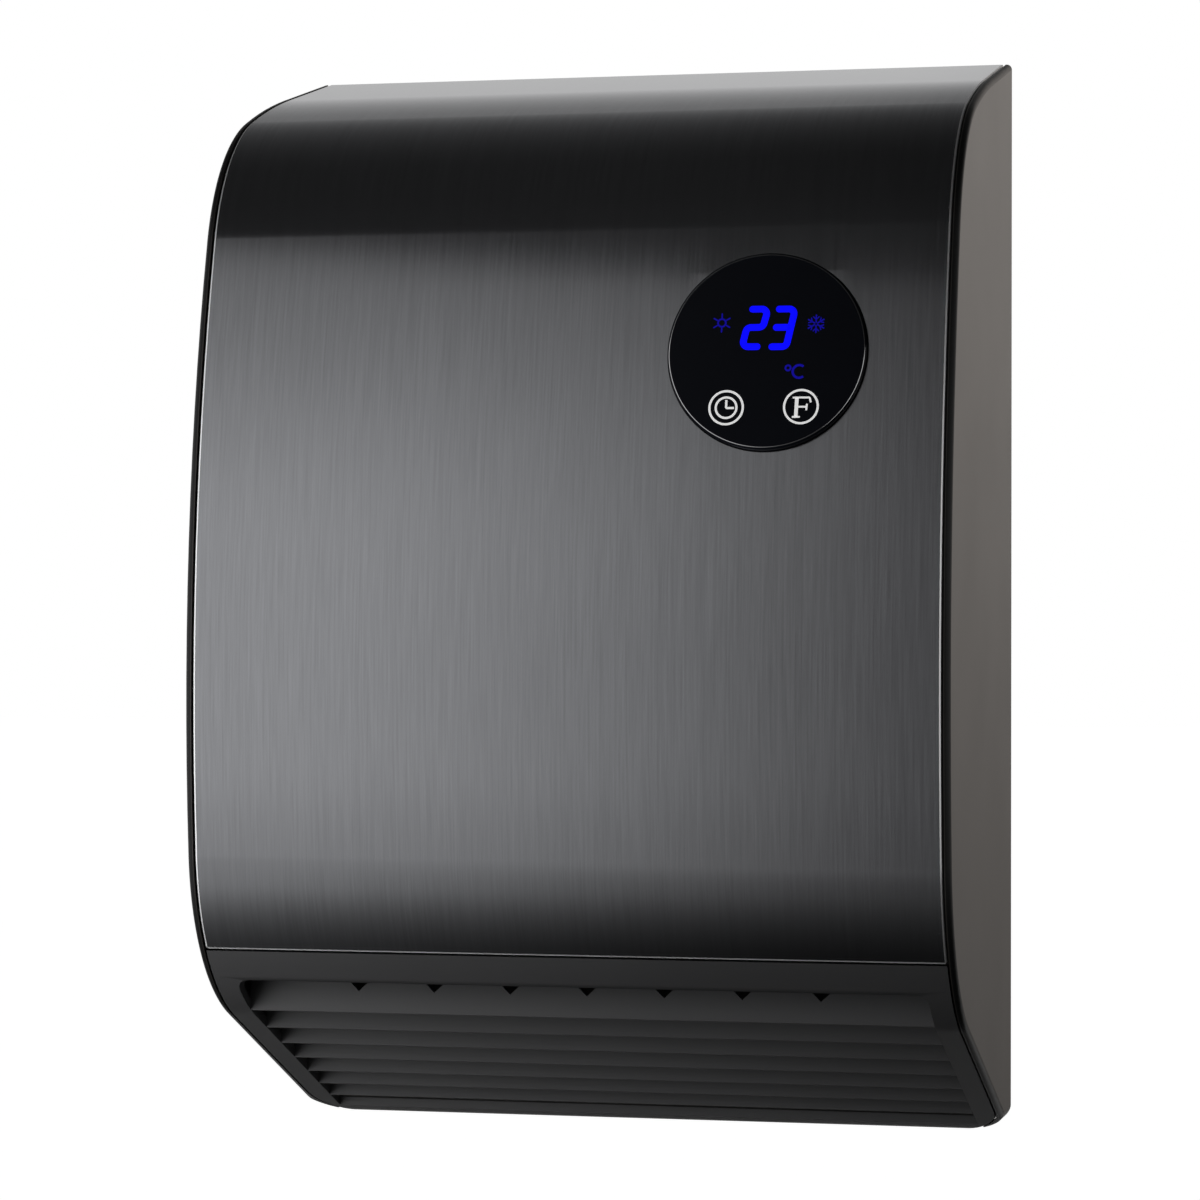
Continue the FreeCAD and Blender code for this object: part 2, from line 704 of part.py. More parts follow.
def wall_bracket():
    """Steel plate screwed to the wall, with two hooks that the back panel hangs on."""
    low = BRACKET_TOP - BRACKET_HEIGHT
    half = BRACKET_WIDTH / 2
    plate = box(-half, half, -BRACKET_PLATE, 0, low, BRACKET_TOP)
    corners = [edge for edge in plate.Edges if edge.BoundBox.YLength > BRACKET_PLATE / 2]
    plate = plate.makeFillet(POST_R, corners)
    tip_back = PANEL_Y - CLEAR
    tip_front = tip_back - BRACKET_PLATE
    pieces = []
    for side in (-1, 1):
        x0 = side * HOOK_SPAN / 2 - HOOK_WIDTH / 2
        x1 = x0 + HOOK_WIDTH
        pieces.append(box(x0, x1, tip_front, -BRACKET_PLATE, HOOK_Z, HOOK_Z + BRACKET_PLATE))
        pieces.append(box(x0, x1, tip_front, tip_back, HOOK_Z, HOOK_Z + BRACKET_PLATE + HOOK_TIP))
    middle = BRACKET_TOP - BRACKET_HEIGHT / 2
    holes = []
    for side in (-1, 1):
        for level in (-1, 1):
            x = side * WALL_HOLE_SPAN_X / 2
            z = middle + level * WALL_HOLE_SPAN_Z / 2
            holes.append(rod_y(WALL_HOLE_R, -BRACKET_PLATE, 0, x, z))
    return joined(plate, *pieces).cut(Part.makeCompound(holes))


def cable_grommet():
    """Rubber ring in the back panel that the supply cable comes through."""
    seat = CABLE_R + GROMMET_WALL
    y0 = PANEL_Y - GROMMET_LIP
    y1 = -RECESS + GROMMET_LIP
    neck = rod_y(seat - FIT_GAP, y0, y1, CABLE_X, CABLE_Z)
    inner_lip = rod_y(seat + GROMMET_LIP, y0, PANEL_Y - FIT_GAP, CABLE_X, CABLE_Z)
    outer_lip = rod_y(seat + GROMMET_LIP, -RECESS + FIT_GAP, y1, CABLE_X, CABLE_Z)
    ring = joined(neck, inner_lip, outer_lip)
    return ring.cut(rod_y(CABLE_R, y0, y1, CABLE_X, CABLE_Z))


LENS_BACK = DISC_PROUD - DISC
HOLDER_FOOT = LENS_BACK - HOLDER_LENGTH
DISPLAY_BOARD_TOP = HOLDER_FOOT + 2 * BOARD


def display_lens():
    """Glossy disc with a chamfered edge, standing a little proud of the plate."""
    disc = drum(DISC_R, LENS_BACK, DISC_PROUD)
    rim = [edge for edge in disc.Edges if edge.BoundBox.ZMin > DISC_PROUD - FIT_GAP]
    return on_disc(disc.makeChamfer(DISC_CHAMFER, rim))


def touch_places():
    """Middles of the two touch marks in the disc's own frame."""
    return [(-TOUCH_X, -TOUCH_DROP), (TOUCH_X, -TOUCH_DROP)]


def display_holder():
    """Cup behind the disc: tube, flange behind the carrier, light mask and a ledge for the board."""
    inside = HOLDER_R - HOLDER_WALL
    flange_front = -INNER - HOLDER_FLANGE_R ** 2 / (2 * SEGMENTS[3][1])
    tube = drum(HOLDER_R, HOLDER_FOOT, LENS_BACK)
    cup = joined(tube, drum(HOLDER_FLANGE_R, flange_front - HOLDER_FLANGE, flange_front))
    cup = cup.cut(drum(inside, HOLDER_FOOT, LENS_BACK))
    mask = drum(HOLDER_R, LENS_BACK - CLEAR - MASK, LENS_BACK - CLEAR)
    ledge = drum(HOLDER_R, DISPLAY_BOARD_TOP, DISPLAY_BOARD_TOP + MASK)
    ledge = ledge.cut(drum(inside - MASK, HOLDER_FOOT, LENS_BACK))
    window = Part.makeBox(
        DIGITS_WIDTH + SHADOW_GAP,
        DIGITS_HEIGHT + SHADOW_GAP,
        HOLDER_LENGTH,
        Vector(-(DIGITS_WIDTH + SHADOW_GAP) / 2, DIGITS_UP - (DIGITS_HEIGHT + SHADOW_GAP) / 2, HOLDER_FOOT),
    )
    cuts = [window] + [drum(TOUCH_R + SHADOW_GAP, HOLDER_FOOT, LENS_BACK, x, y) for x, y in touch_places()]
    return on_disc(joined(cup, mask.cut(Part.makeCompound(cuts)), ledge))


def display_board():
    """Round circuit board behind the disc."""
    return on_disc(drum(HOLDER_R - HOLDER_WALL - CLEAR, DISPLAY_BOARD_TOP - BOARD, DISPLAY_BOARD_TOP))


def led_display():
    """Two-digit module on the round board."""
    corner = Vector(-DIGITS_WIDTH / 2, DIGITS_UP - DIGITS_HEIGHT / 2, DISPLAY_BOARD_TOP)
    block = Part.makeBox(DIGITS_WIDTH, DIGITS_HEIGHT, DIGITS_TALL, corner)
    upright = [edge for edge in block.Edges if edge.BoundBox.ZLength > DIGITS_TALL / 2]
    return on_disc(block.makeFillet(MASK, upright))


def touch_pads():
    """Conductive pads from the round board to the back of the disc."""
    pads = [drum(TOUCH_R, DISPLAY_BOARD_TOP, LENS_BACK, x, y) for x, y in touch_places()]
    return Part.makeCompound([on_disc(pad) for pad in pads])


def polar(radius, degrees):
    """Point (y, z) about the fan's axis, turned from the wall towards the top."""
    turn = math.radians(degrees)
    return FAN_Y + radius * math.cos(turn), FAN_Z + radius * math.sin(turn)


IMPELLER_X0 = LEFT_PLATE_IN + END_GAP
IMPELLER_X1 = RIGHT_PLATE_IN - END_GAP


def blade_section(turn):
    """Curved outline of one blade, in the plane across the axis."""
    inner = IMPELLER_R - BLADE_CHORD
    outer = IMPELLER_R - BLADE / 2
    middle = (inner + outer) / 2
    edges = []
    sides = []
    for side in (-1, 1):
        places = []
        for radius, sweep in ((inner, 0.0), (middle, BLADE_SWEEP / 2 - BLADE_CAMBER), (outer, BLADE_SWEEP)):
            half = math.degrees(BLADE / 2 / radius)
            places.append(Vector(0, *polar(radius, turn + sweep + side * half)))
        edges.append(Part.Arc(*places).toShape())
        sides.append(places)
    for end in (0, 2):
        edges.append(Part.LineSegment(sides[0][end], sides[1][end]).toShape())
    return Part.Face(Part.Wire(Part.sortEdges(edges)[0]))


def impeller():
    """Cross-flow wheel: curved blades between two discs, with a ring at half length."""
    left = rod_x(IMPELLER_R, IMPELLER_X0, IMPELLER_X0 + IMPELLER_DISC, FAN_Y, FAN_Z)
    right = rod_x(IMPELLER_R, IMPELLER_X1 - IMPELLER_DISC, IMPELLER_X1, FAN_Y, FAN_Z)
    hubs = [
        rod_x(HUB_R, IMPELLER_X0, IMPELLER_X0 + HUB_LENGTH, FAN_Y, FAN_Z),
        rod_x(HUB_R, IMPELLER_X1 - HUB_LENGTH, IMPELLER_X1, FAN_Y, FAN_Z),
    ]
    inner = IMPELLER_R - BLADE_CHORD
    ring_x = FAN_MIDDLE - IMPELLER_DISC / 2
    ring = tube_x(IMPELLER_R, inner, ring_x, ring_x + IMPELLER_DISC, FAN_Y, FAN_Z)
    blades = []
    for index in range(BLADES):
        face = blade_section(360.0 * index / BLADES)
        face.translate(Vector(IMPELLER_X0 + IMPELLER_DISC / 2, 0, 0))
        blades.append(face.extrude(Vector(IMPELLER_X1 - IMPELLER_X0 - IMPELLER_DISC, 0, 0)))
    wheel = joined(left, right, ring, *hubs, *blades)
    stub = rod_x(STUB_R + FIT_GAP, IMPELLER_X0, IMPELLER_X0 + HUB_LENGTH, FAN_Y, FAN_Z)
    drive = rod_x(MOTOR_SHAFT_R + FIT_GAP, IMPELLER_X1 - HUB_LENGTH, IMPELLER_X1, FAN_Y, FAN_Z)
    return wheel.cut(stub).cut(drive)


HOLDER_END = LEFT_PLATE_OUT - BEARING


def stub_shaft():
    """Steel pin of the free end."""
    return rod_x(STUB_R, HOLDER_END, IMPELLER_X0 + HUB_LENGTH, FAN_Y, FAN_Z)


def end_bearing():
    """Plain bush of the free end."""
    return tube_x(BEARING_R, STUB_R + RUN_GAP, HOLDER_END, LEFT_PLATE_OUT, FAN_Y, FAN_Z)


def bearing_holder():
    """Flanged cup on the left plate that holds the bush."""
    cup = rod_x(BEARING_R + CUP_WALL, HOLDER_END - CUP_WALL, LEFT_PLATE_OUT, FAN_Y, FAN_Z)
    flange = rod_x(HOLDER_FLANGE_OUT, LEFT_PLATE_OUT - SIDE_PLATE, LEFT_PLATE_OUT, FAN_Y, FAN_Z)
    seat = rod_x(BEARING_R + FIT_GAP, HOLDER_END - FIT_GAP, LEFT_PLATE_OUT, FAN_Y, FAN_Z)
    return joined(cup, flange).cut(seat)


DUCT_REAR = FAN_Y + (IMPELLER_R + SCROLL_GAP + SCROLL_GROWTH) * math.cos(math.radians(SCROLL_END))
DUCT_FRONT = FAN_Y - IMPELLER_R - SCROLL_GAP - SCROLL_WALL
HEATER_LOW = DUCT_FOOT + LEDGE
HEATER_HIGH = HEATER_LOW + HEATER_THICK
HEATER_Y0 = DUCT_FRONT + SCROLL_WALL + CLEAR
HEATER_Y1 = DUCT_REAR - CLEAR
HEATER_X0 = LEFT_PLATE_IN + CLEAR
HEATER_X1 = RIGHT_PLATE_IN - CLEAR
FINS_X0 = HEATER_X0 + HEATER_CAP
FINS_X1 = HEATER_X1 - HEATER_CAP
HEATER_MIDDLE_Z = (HEATER_LOW + HEATER_HIGH) / 2
TUBE_PITCH = (HEATER_Y1 - HEATER_Y0 - TUBE) / (HEATER_TUBES - 1)


def scroll_wall():
    """Curved wall behind the impeller, opening towards the duct, with the duct's rear wall."""
    near = IMPELLER_R + SCROLL_GAP
    reaches = (near, near + SCROLL_GROWTH / 3, near + SCROLL_GROWTH)
    turns = (SCROLL_START, 0.0, SCROLL_END)
    rims = []
    for wall in (0.0, SCROLL_WALL):
        rims.append([Vector(0, *polar(reach + wall, turn)) for reach, turn in zip(reaches, turns)])
    inner, outer = rims
    edges = [
        Part.Arc(*inner).toShape(),
        Part.Arc(*outer).toShape(),
        Part.LineSegment(inner[0], outer[0]).toShape(),
        Part.LineSegment(inner[2], outer[2]).toShape(),
    ]
    face = Part.Face(Part.Wire(Part.sortEdges(edges)[0]))
    face.translate(Vector(LEFT_PLATE_OUT, 0, 0))
    curve = face.extrude(Vector(RIGHT_PLATE_OUT - LEFT_PLATE_OUT, 0, 0))
    top = inner[2].z + SCROLL_WALL
    rear = box(LEFT_PLATE_OUT, RIGHT_PLATE_OUT, DUCT_REAR, DUCT_REAR + SCROLL_WALL, DUCT_FOOT, top)
    return joined(curve, rear)


def scroll_housing():
    """Fan housing: two side plates, the curved rear wall, feet, ledges and motor posts."""
    crown = FAN_Z + IMPELLER_R + SCROLL_GAP
    shoulder = IMPELLER_R / 2
    outline = [
        (DUCT_FRONT, DUCT_FOOT),
        (DUCT_FRONT, FAN_Z),
        (DUCT_FRONT + shoulder, crown),
        (FAN_Y + shoulder, crown),
        (FOOT_BACK - BACK_WALL, FOOT_HIGH_Z + FOOT / 2),
        (FOOT_BACK - BACK_WALL, DUCT_FOOT),
    ]
    left = prism_x(outline, LEFT_PLATE_OUT, LEFT_PLATE_IN)
    right = prism_x(outline, RIGHT_PLATE_IN, RIGHT_PLATE_OUT)
    pieces = [right, scroll_wall()]
    for x, z in FEET:
        half = FOOT / 2
        low = z - half
        reach = x - half if x < 0 else RIGHT_PLATE_IN
        stop = LEFT_PLATE_IN if x < 0 else x + half
        pieces.append(box(reach, stop, FOOT_BACK - BACK_WALL, FOOT_BACK, low, z + half))
    for x0 in (LEFT_PLATE_IN - CLEAR, RIGHT_PLATE_IN - LEDGE_WIDTH):
        pieces.append(box(x0, x0 + LEDGE_WIDTH + CLEAR, HEATER_Y0, HEATER_Y1, DUCT_FOOT, HEATER_LOW))
    pieces += [rod_x(POST_R, RIGHT_PLATE_IN, MOTOR_PLATE_X, y, z) for y, z in motor_posts()]
    housing = joined(left, *pieces)
    cuts = [rod_y(PCB_SCREW_R + FIT_GAP, FOOT_BACK - BACK_WALL, FOOT_BACK, x, z) for x, z in FEET]
    cuts.append(rod_x(HUB_R, LEFT_PLATE_OUT, LEFT_PLATE_IN, FAN_Y, FAN_Z))
    cuts.append(rod_x(HUB_R, RIGHT_PLATE_IN, RIGHT_PLATE_OUT, FAN_Y, FAN_Z))
    cuts += [rod_x(SCREW_R + RUN_GAP, RIGHT_PLATE_OUT, MOTOR_PLATE_X, y, z) for y, z in motor_posts()]
    middle = (HEATER_Y0 + HEATER_Y1) / 2
    reach = (TERMINALS - 1) / 2 * TERMINAL_PITCH + TERMINAL_WIDTH
    low = HEATER_MIDDLE_Z - TERMINAL_WIDTH
    high = HEATER_MIDDLE_Z + TERMINAL_WIDTH
    cuts.append(box(RIGHT_PLATE_IN, RIGHT_PLATE_OUT, middle - reach, middle + reach, low, high))
    return housing.cut(Part.makeCompound(cuts))


def vortex_tongue():
    """Bent bar at the front of the impeller: duct wall below, shelf to the carrier in front."""
    nose = polar(IMPELLER_R + SCROLL_GAP, TONGUE_TURN)
    outline = [
        nose,
        (nose[0], nose[1] + SCROLL_WALL),
        (-2 * DEPTH, nose[1] + SCROLL_WALL),
        (-2 * DEPTH, nose[1]),
        (DUCT_FRONT, nose[1]),
        (DUCT_FRONT, DUCT_FOOT),
        (DUCT_FRONT + SCROLL_WALL, DUCT_FOOT),
        (DUCT_FRONT + SCROLL_WALL, nose[1] - SCROLL_WALL),
    ]
    bar = prism_x(outline, LEFT_PLATE_IN + CLEAR, RIGHT_PLATE_IN - CLEAR)
    room = core(CARRIER_INNER + CARRIER_RIB_DEPTH + CLEAR, -WIDTH, WIDTH)
    return bar.common(room)


MOTOR_PLATE_X = RIGHT_PLATE_OUT + MOTOR_POST
STATOR_X0 = MOTOR_PLATE_X + MOTOR_PLATE + STATOR_BACK
STATOR_X1 = STATOR_X0 + STATOR
OUTER_PLATE_X = STATOR_X1 + STATOR_BACK - MOTOR_PLATE
SHAFT_END = OUTER_PLATE_X + MOTOR_PLATE + MOTOR_BEARING + END_GAP


def motor_posts():
    """Places (y, z) of the posts that carry the motor."""
    step_out = MOTOR_POST_OFFSET
    return [(FAN_Y + a * step_out, FAN_Z + b * step_out) for a in (-1, 1) for b in (-1, 1)]


def motor_bracket(plate_x, leg_x, half_height, holes):
    """Stamped bracket: plate, two legs to the stack and a cup for the bearing."""
    half = MOTOR_PLATE_HALF
    low = FAN_Z - half_height
    plate = box(plate_x, plate_x + MOTOR_PLATE, FAN_Y - half, FAN_Y + half, low, FAN_Z + half_height)
    corners = [edge for edge in plate.Edges if edge.BoundBox.XLength > MOTOR_PLATE / 2]
    plate = plate.makeFillet(POST_R, corners)
    x0, x1 = sorted((plate_x + (MOTOR_PLATE if leg_x > plate_x else 0.0), leg_x))
    pieces = []
    for side in (-1, 1):
        y = FAN_Y + side * (half - MOTOR_PLATE / 2)
        leg = half_height / 2
        pieces.append(box(x0, x1, y - MOTOR_PLATE / 2, y + MOTOR_PLATE / 2, FAN_Z - leg, FAN_Z + leg))
    cup_x = plate_x - MOTOR_BEARING if leg_x > plate_x else plate_x + MOTOR_PLATE
    pieces.append(rod_x(BEARING_R + MOTOR_PLATE, cup_x, cup_x + MOTOR_BEARING, FAN_Y, FAN_Z))
    bracket = joined(plate, *pieces)
    x0, x1 = min(cup_x, plate_x), max(cup_x + MOTOR_BEARING, plate_x + MOTOR_PLATE)
    cuts = [rod_x(BEARING_R + FIT_GAP, x0, x1, FAN_Y, FAN_Z)]
    if holes:
        cuts += [rod_x(SCREW_HOLE_R, plate_x, plate_x + MOTOR_PLATE, y, z) for y, z in motor_posts()]
    return bracket.cut(Part.makeCompound(cuts))


def motor_bracket_inner():
    """Bracket between the fan and the stack, screwed to the housing's posts."""
    return motor_bracket(MOTOR_PLATE_X, STATOR_X0, MOTOR_PLATE_HALF, True)


def motor_bracket_outer():
    """Bracket on the far side of the stack."""
    return motor_bracket(OUTER_PLATE_X, STATOR_X1, OUTER_PLATE_HALF, False)


def motor_bearings():
    """Two bushes of the motor's shaft."""
    bushes = []
    for x0 in (MOTOR_PLATE_X - MOTOR_BEARING, OUTER_PLATE_X + MOTOR_PLATE):
        bushes.append(tube_x(BEARING_R, MOTOR_SHAFT_R + RUN_GAP, x0, x0 + MOTOR_BEARING, FAN_Y, FAN_Z))
    return Part.makeCompound(bushes)


def motor_stator():
    """Stack of laminations: pole block with the rotor's bore, and the limb for the coil below."""
    half = STATOR_HALF
    outline = [
        (FAN_Y - half, FAN_Z - STATOR_DROP),
        (FAN_Y + half, FAN_Z - STATOR_DROP),
        (FAN_Y + half, FAN_Z + half),
        (FAN_Y - half, FAN_Z + half),
    ]
    stack = prism_x(outline, STATOR_X0, STATOR_X1)
    corners = [edge for edge in stack.Edges if edge.BoundBox.XLength > STATOR / 2]
    stack = stack.makeFillet(POST_R, corners)
    low = FAN_Z - STATOR_DROP + STATOR_LIMB + CLEAR
    inside = half - STATOR_LIMB
    window = box(STATOR_X0, STATOR_X1, FAN_Y - inside, FAN_Y + inside, low, low + STATOR_WINDOW)
    return stack.cut(window).cut(rod_x(ROTOR_R + AIR_GAP, STATOR_X0, STATOR_X1, FAN_Y, FAN_Z))


def motor_coil():
    """Winding round the stack's lower limb."""
    half = STATOR_HALF - STATOR_LIMB - CLEAR
    low = FAN_Z - STATOR_DROP - COIL_BUILD
    high = FAN_Z - STATOR_DROP + STATOR_LIMB + COIL_BUILD
    build = box(STATOR_X0 - COIL_BUILD, STATOR_X1 + COIL_BUILD, FAN_Y - half, FAN_Y + half, low, high)
    corners = [edge for edge in build.Edges if edge.BoundBox.YLength > half]
    build = build.makeFillet(COIL_BUILD / 2, corners)
    low += COIL_BUILD - CLEAR
    high += CLEAR - COIL_BUILD + CLEAR
    return build.cut(box(STATOR_X0 - CLEAR, STATOR_X1 + CLEAR, FAN_Y - half, FAN_Y + half, low, high))


def motor_rotor():
    """Cage rotor on the motor's shaft."""
    core_bar = rod_x(ROTOR_R, STATOR_X0, STATOR_X1, FAN_Y, FAN_Z)
    rings = rod_x(ROTOR_R - ROTOR_RING, STATOR_X0 - ROTOR_RING, STATOR_X1 + ROTOR_RING, FAN_Y, FAN_Z)
    bore = rod_x(MOTOR_SHAFT_R + FIT_GAP, STATOR_X0 - ROTOR_RING, STATOR_X1 + ROTOR_RING, FAN_Y, FAN_Z)
    return joined(core_bar, rings).cut(bore)


def motor_shaft():
    """Steel shaft from the impeller's hub through both motor bearings."""
    return rod_x(MOTOR_SHAFT_R, IMPELLER_X1 - HUB_LENGTH, SHAFT_END, FAN_Y, FAN_Z)


def motor_screws():
    """Screws that hold the motor to the housing's posts."""
    screws = []
    for y, z in motor_posts():
        face = MOTOR_PLATE_X + MOTOR_PLATE
        head = rod_x(SCREW_R * 2, face, face + SCREW_HEAD, y, z)
        screws.append(joined(head, rod_x(SCREW_R, RIGHT_PLATE_OUT + CLEAR, face, y, z)))
    return Part.makeCompound(screws)


def heater_caps():
    """Moulded end blocks of the heating element."""
    caps = []
    for x0 in (HEATER_X0, FINS_X1):
        cap = box(x0, x0 + HEATER_CAP, HEATER_Y0, HEATER_Y1, HEATER_LOW, HEATER_HIGH)
        corners = [edge for edge in cap.Edges if edge.BoundBox.XLength > HEATER_CAP / 2]
        caps.append(cap.makeFillet(SIDE_PLATE, corners))
    return Part.makeCompound(caps)


def heater_tubes():
    """Flat tubes that hold the ceramic stones."""
    tubes = []
    for index in range(HEATER_TUBES):
        y = HEATER_Y0 + index * TUBE_PITCH
        bar = box(FINS_X0, FINS_X1, y, y + TUBE, HEATER_LOW + SIDE_PLATE, HEATER_HIGH - SIDE_PLATE)
        tubes.append(bar)
    return Part.makeCompound(tubes)


def heater_fins():
    """Folded fins between the tubes, one zigzag strip for each gap."""
    rows = []
    folds = int((FINS_X1 - FINS_X0 - 2 * CLEAR) / (FIN_PITCH / 2))
    start = (FINS_X0 + FINS_X1 - folds * FIN_PITCH / 2) / 2
    rise = TUBE_PITCH - TUBE - 2 * RUN_GAP
    upright = FIN * math.hypot(1.0, 2 * rise / FIN_PITCH)
    low = HEATER_LOW + SIDE_PLATE + MASK
    tall = HEATER_THICK - 2 * (SIDE_PLATE + MASK)
    for row in range(HEATER_TUBES - 1):
        y0 = HEATER_Y0 + row * TUBE_PITCH + TUBE + RUN_GAP
        y1 = y0 + rise - upright
        path = []
        for fold in range(folds + 1):
            path.append((start + fold * FIN_PITCH / 2, y1 if fold % 2 else y0))
        around = path + [(x, y + upright) for x, y in reversed(path)]
        corners = [Vector(x, y, low) for x, y in around]
        face = Part.Face(Part.makePolygon(corners + corners[:1]))
        rows.append(face.extrude(Vector(0, 0, tall)))
    return Part.makeCompound(rows)


def heater_terminals():
    """Push-on tabs at the motor end of the element."""
    tabs = []
    middle = (HEATER_Y0 + HEATER_Y1) / 2
    half = TERMINAL_WIDTH / 2
    for index in range(TERMINALS):
        y = middle + (index - (TERMINALS - 1) / 2) * TERMINAL_PITCH
        x1 = HEATER_X1 + TERMINAL_OUT
        low = HEATER_MIDDLE_Z - half
        tab = box(HEATER_X1, x1, y - TERMINAL / 2, y + TERMINAL / 2, low, low + TERMINAL_WIDTH)
        hole = rod_y(TERMINAL, y - TERMINAL, y + TERMINAL, x1 - half, HEATER_MIDDLE_Z)
        tabs.append(tab.cut(hole))
    return Part.makeCompound(tabs)


CUTOUT_Y = DUCT_FRONT + SCROLL_WALL + CUTOUT_R + MASK
CUTOUT_Z = HEATER_HIGH + CUTOUT_R


def thermal_cutout():
    """Snap-disc switch on the housing beside the element."""
    can = rod_x(CUTOUT_R, RIGHT_PLATE_OUT, RIGHT_PLATE_OUT + CUTOUT_TALL, CUTOUT_Y, CUTOUT_Z)
    x0 = RIGHT_PLATE_OUT + CUTOUT_TALL
    tabs = []
    for side in (-1, 1):
        y = CUTOUT_Y + side * CUTOUT_R / 2
        low = CUTOUT_Z - CUTOUT_R / 2
        tabs.append(box(x0, x0 + CUTOUT_TALL, y - TERMINAL / 2, y + TERMINAL / 2, low, low + CUTOUT_R))
    return joined(can, *tabs)


def thermal_fuse():
    """One-shot fuse along the housing's side plate."""
    y = DUCT_FRONT + SCROLL_WALL + FUSE_R + MASK
    x = RIGHT_PLATE_OUT + CLEAR + FUSE_R
    barrel = Part.makeCylinder(FUSE_R, FUSE_LENGTH, Vector(x, y, DUCT_FOOT + CLEAR))
    ends_edges = [edge for edge in barrel.Edges if edge.BoundBox.ZLength < FIT_GAP]
    return barrel.makeFillet(FUSE_R / 3, ends_edges)


def control_board():
    """Main circuit board on four posts of the back panel."""
    board = box(PCB_X0, PCB_X0 + PCB_WIDTH, PCB_FRONT, PCB_BACK, PCB_Z0, PCB_Z1)
    holes = [rod_y(SCREW_HOLE_R, PCB_FRONT, PCB_BACK, x, z) for x, z in PCB_SCREWS]
    return board.cut(Part.makeCompound(holes))


TRANSFORMER_X = PCB_X0 + 2 * PCB_SCREW_INSET + PART_GAP
RELAY_X = TRANSFORMER_X + TRANSFORMER[0] + PART_GAP
CAPACITOR_X = RELAY_X + 2 * (RELAY[0] + PART_GAP)
PARTS_Z = PCB_Z0 + PCB_SCREW_INSET


def on_board(size, x0, rounding):
    """Block-shaped part on the board's front face, standing on one line along its lower edge."""
    wide, tall, deep = size
    block = box(x0, x0 + wide, PCB_FRONT - deep, PCB_FRONT, PARTS_Z, PARTS_Z + tall)
    upright = [edge for edge in block.Edges if edge.BoundBox.YLength > deep / 2]
    return block.makeFillet(rounding, upright)


def relays():
    """Two relays that switch the element."""
    places = (RELAY_X, RELAY_X + RELAY[0] + PART_GAP)
    return Part.makeCompound([on_board(RELAY, x, MASK) for x in places])


def suppression_capacitor():
    """Film capacitor across the supply."""
    return on_board(CAPACITOR, CAPACITOR_X, SIDE_PLATE)


def power_transformer():
    """Small transformer of the board's supply."""
    return on_board(TRANSFORMER, TRANSFORMER_X, SIDE_PLATE)


def buzzer():
    """Round sounder above the relays."""
    x = RELAY_X + RELAY[0]
    z = PARTS_Z + RELAY[1] + PART_GAP + BUZZER_R
    can = rod_y(BUZZER_R, PCB_FRONT - BUZZER_TALL, PCB_FRONT, x, z)
    return can.cut(rod_y(TERMINAL, PCB_FRONT - BUZZER_TALL, PCB_FRONT - BUZZER_TALL / 2, x, z))


def terminal_block():
    """Screw terminals for the supply cable, above the cable entry."""
    wide, tall, deep = TERMINAL_BLOCK
    z0 = CABLE_Z + 2 * (CABLE_R + GROMMET_WALL)
    block = box(CABLE_X - wide / 2, CABLE_X + wide / 2, PANEL_Y - deep, PANEL_Y, z0, z0 + tall)
    cuts = []
    for way in range(TERMINAL_WAYS):
        x = CABLE_X + (way - (TERMINAL_WAYS - 1) / 2) * wide / TERMINAL_WAYS
        cuts.append(Part.makeCylinder(TERMINAL_BORE_R, tall, Vector(x, PANEL_Y - deep / 2, z0)))
        cuts.append(rod_y(TERMINAL_BORE_R, PANEL_Y - deep, PANEL_Y - deep / 2, x, z0 + tall / 2))
    return block.cut(Part.makeCompound(cuts))


def board_screws():
    """Screws of the control board."""
    screws = []
    for x, z in PCB_SCREWS:
        head = rod_y(SCREW_R * 2, PCB_FRONT - SCREW_HEAD, PCB_FRONT, x, z)
        screws.append(joined(head, rod_y(PCB_SCREW_R, PCB_FRONT, PCB_FRONT + PCB_SCREW_LENGTH, x, z)))
    return Part.makeCompound(screws)


def scroll_screws():
    """Screws of the fan housing's feet."""
    screws = []
    for x, z in FEET:
        face = FOOT_BACK - BACK_WALL
        head = rod_y(SCREW_R * 2, face - SCREW_HEAD, face, x, z)
        screws.append(joined(head, rod_y(PCB_SCREW_R, face, face + PCB_SCREW_LENGTH, x, z)))
    return Part.makeCompound(screws)


def case_screws():
    """Screws through the back panel into the posts of the carrier and the grille."""
    return Part.makeCompound([case_screw(x, z) for x, z in CORNER_POSTS + SOLE_POSTS])


def cheek_screws():
    """Screws through the back panel into the tabs of the side panels."""
    return Part.makeCompound([case_screw(x, z) for x, z in CHEEK_TABS])


def side_cheek_right():
    """Side panel on the right."""
    return side_cheek()


def side_cheek_left():
    """Side panel on the left, the mirror image."""
    return mirrored(side_cheek())


PIECES = [
    back_panel, intake_grille, side_cheek_left, side_cheek_right, front_carrier, front_plate, outlet_grille,
    wall_bracket, cable_grommet, display_lens, display_holder, display_board, led_display, touch_pads,
    impeller, stub_shaft, end_bearing, bearing_holder, scroll_housing, vortex_tongue, motor_bracket_inner,
    motor_bracket_outer, motor_bearings, motor_stator, motor_coil, motor_rotor, motor_shaft, motor_screws,
    heater_caps, heater_tubes, heater_fins, heater_terminals, thermal_cutout, thermal_fuse, control_board,
    relays, suppression_capacitor, power_transformer, buzzer, terminal_block, board_screws, scroll_screws,
    case_screws, cheek_screws,
]


def main():
    """Builds every piece and writes it under its own name."""
    os.makedirs("parts", exist_ok=True)
    for build in PIECES:
        shape = build()
        print(build.__name__, len(shape.Solids), shape.isValid(), round(shape.Volume))
        shape.translate(Vector(0, 0, -ORIGIN_Z))
        shape.exportStep("parts/" + build.__name__ + ".step")


main()
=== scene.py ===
import math

import bmesh
import bpy
from bpy.props import FloatProperty, FloatVectorProperty, IntProperty, PointerProperty
from mathutils import Matrix, Vector


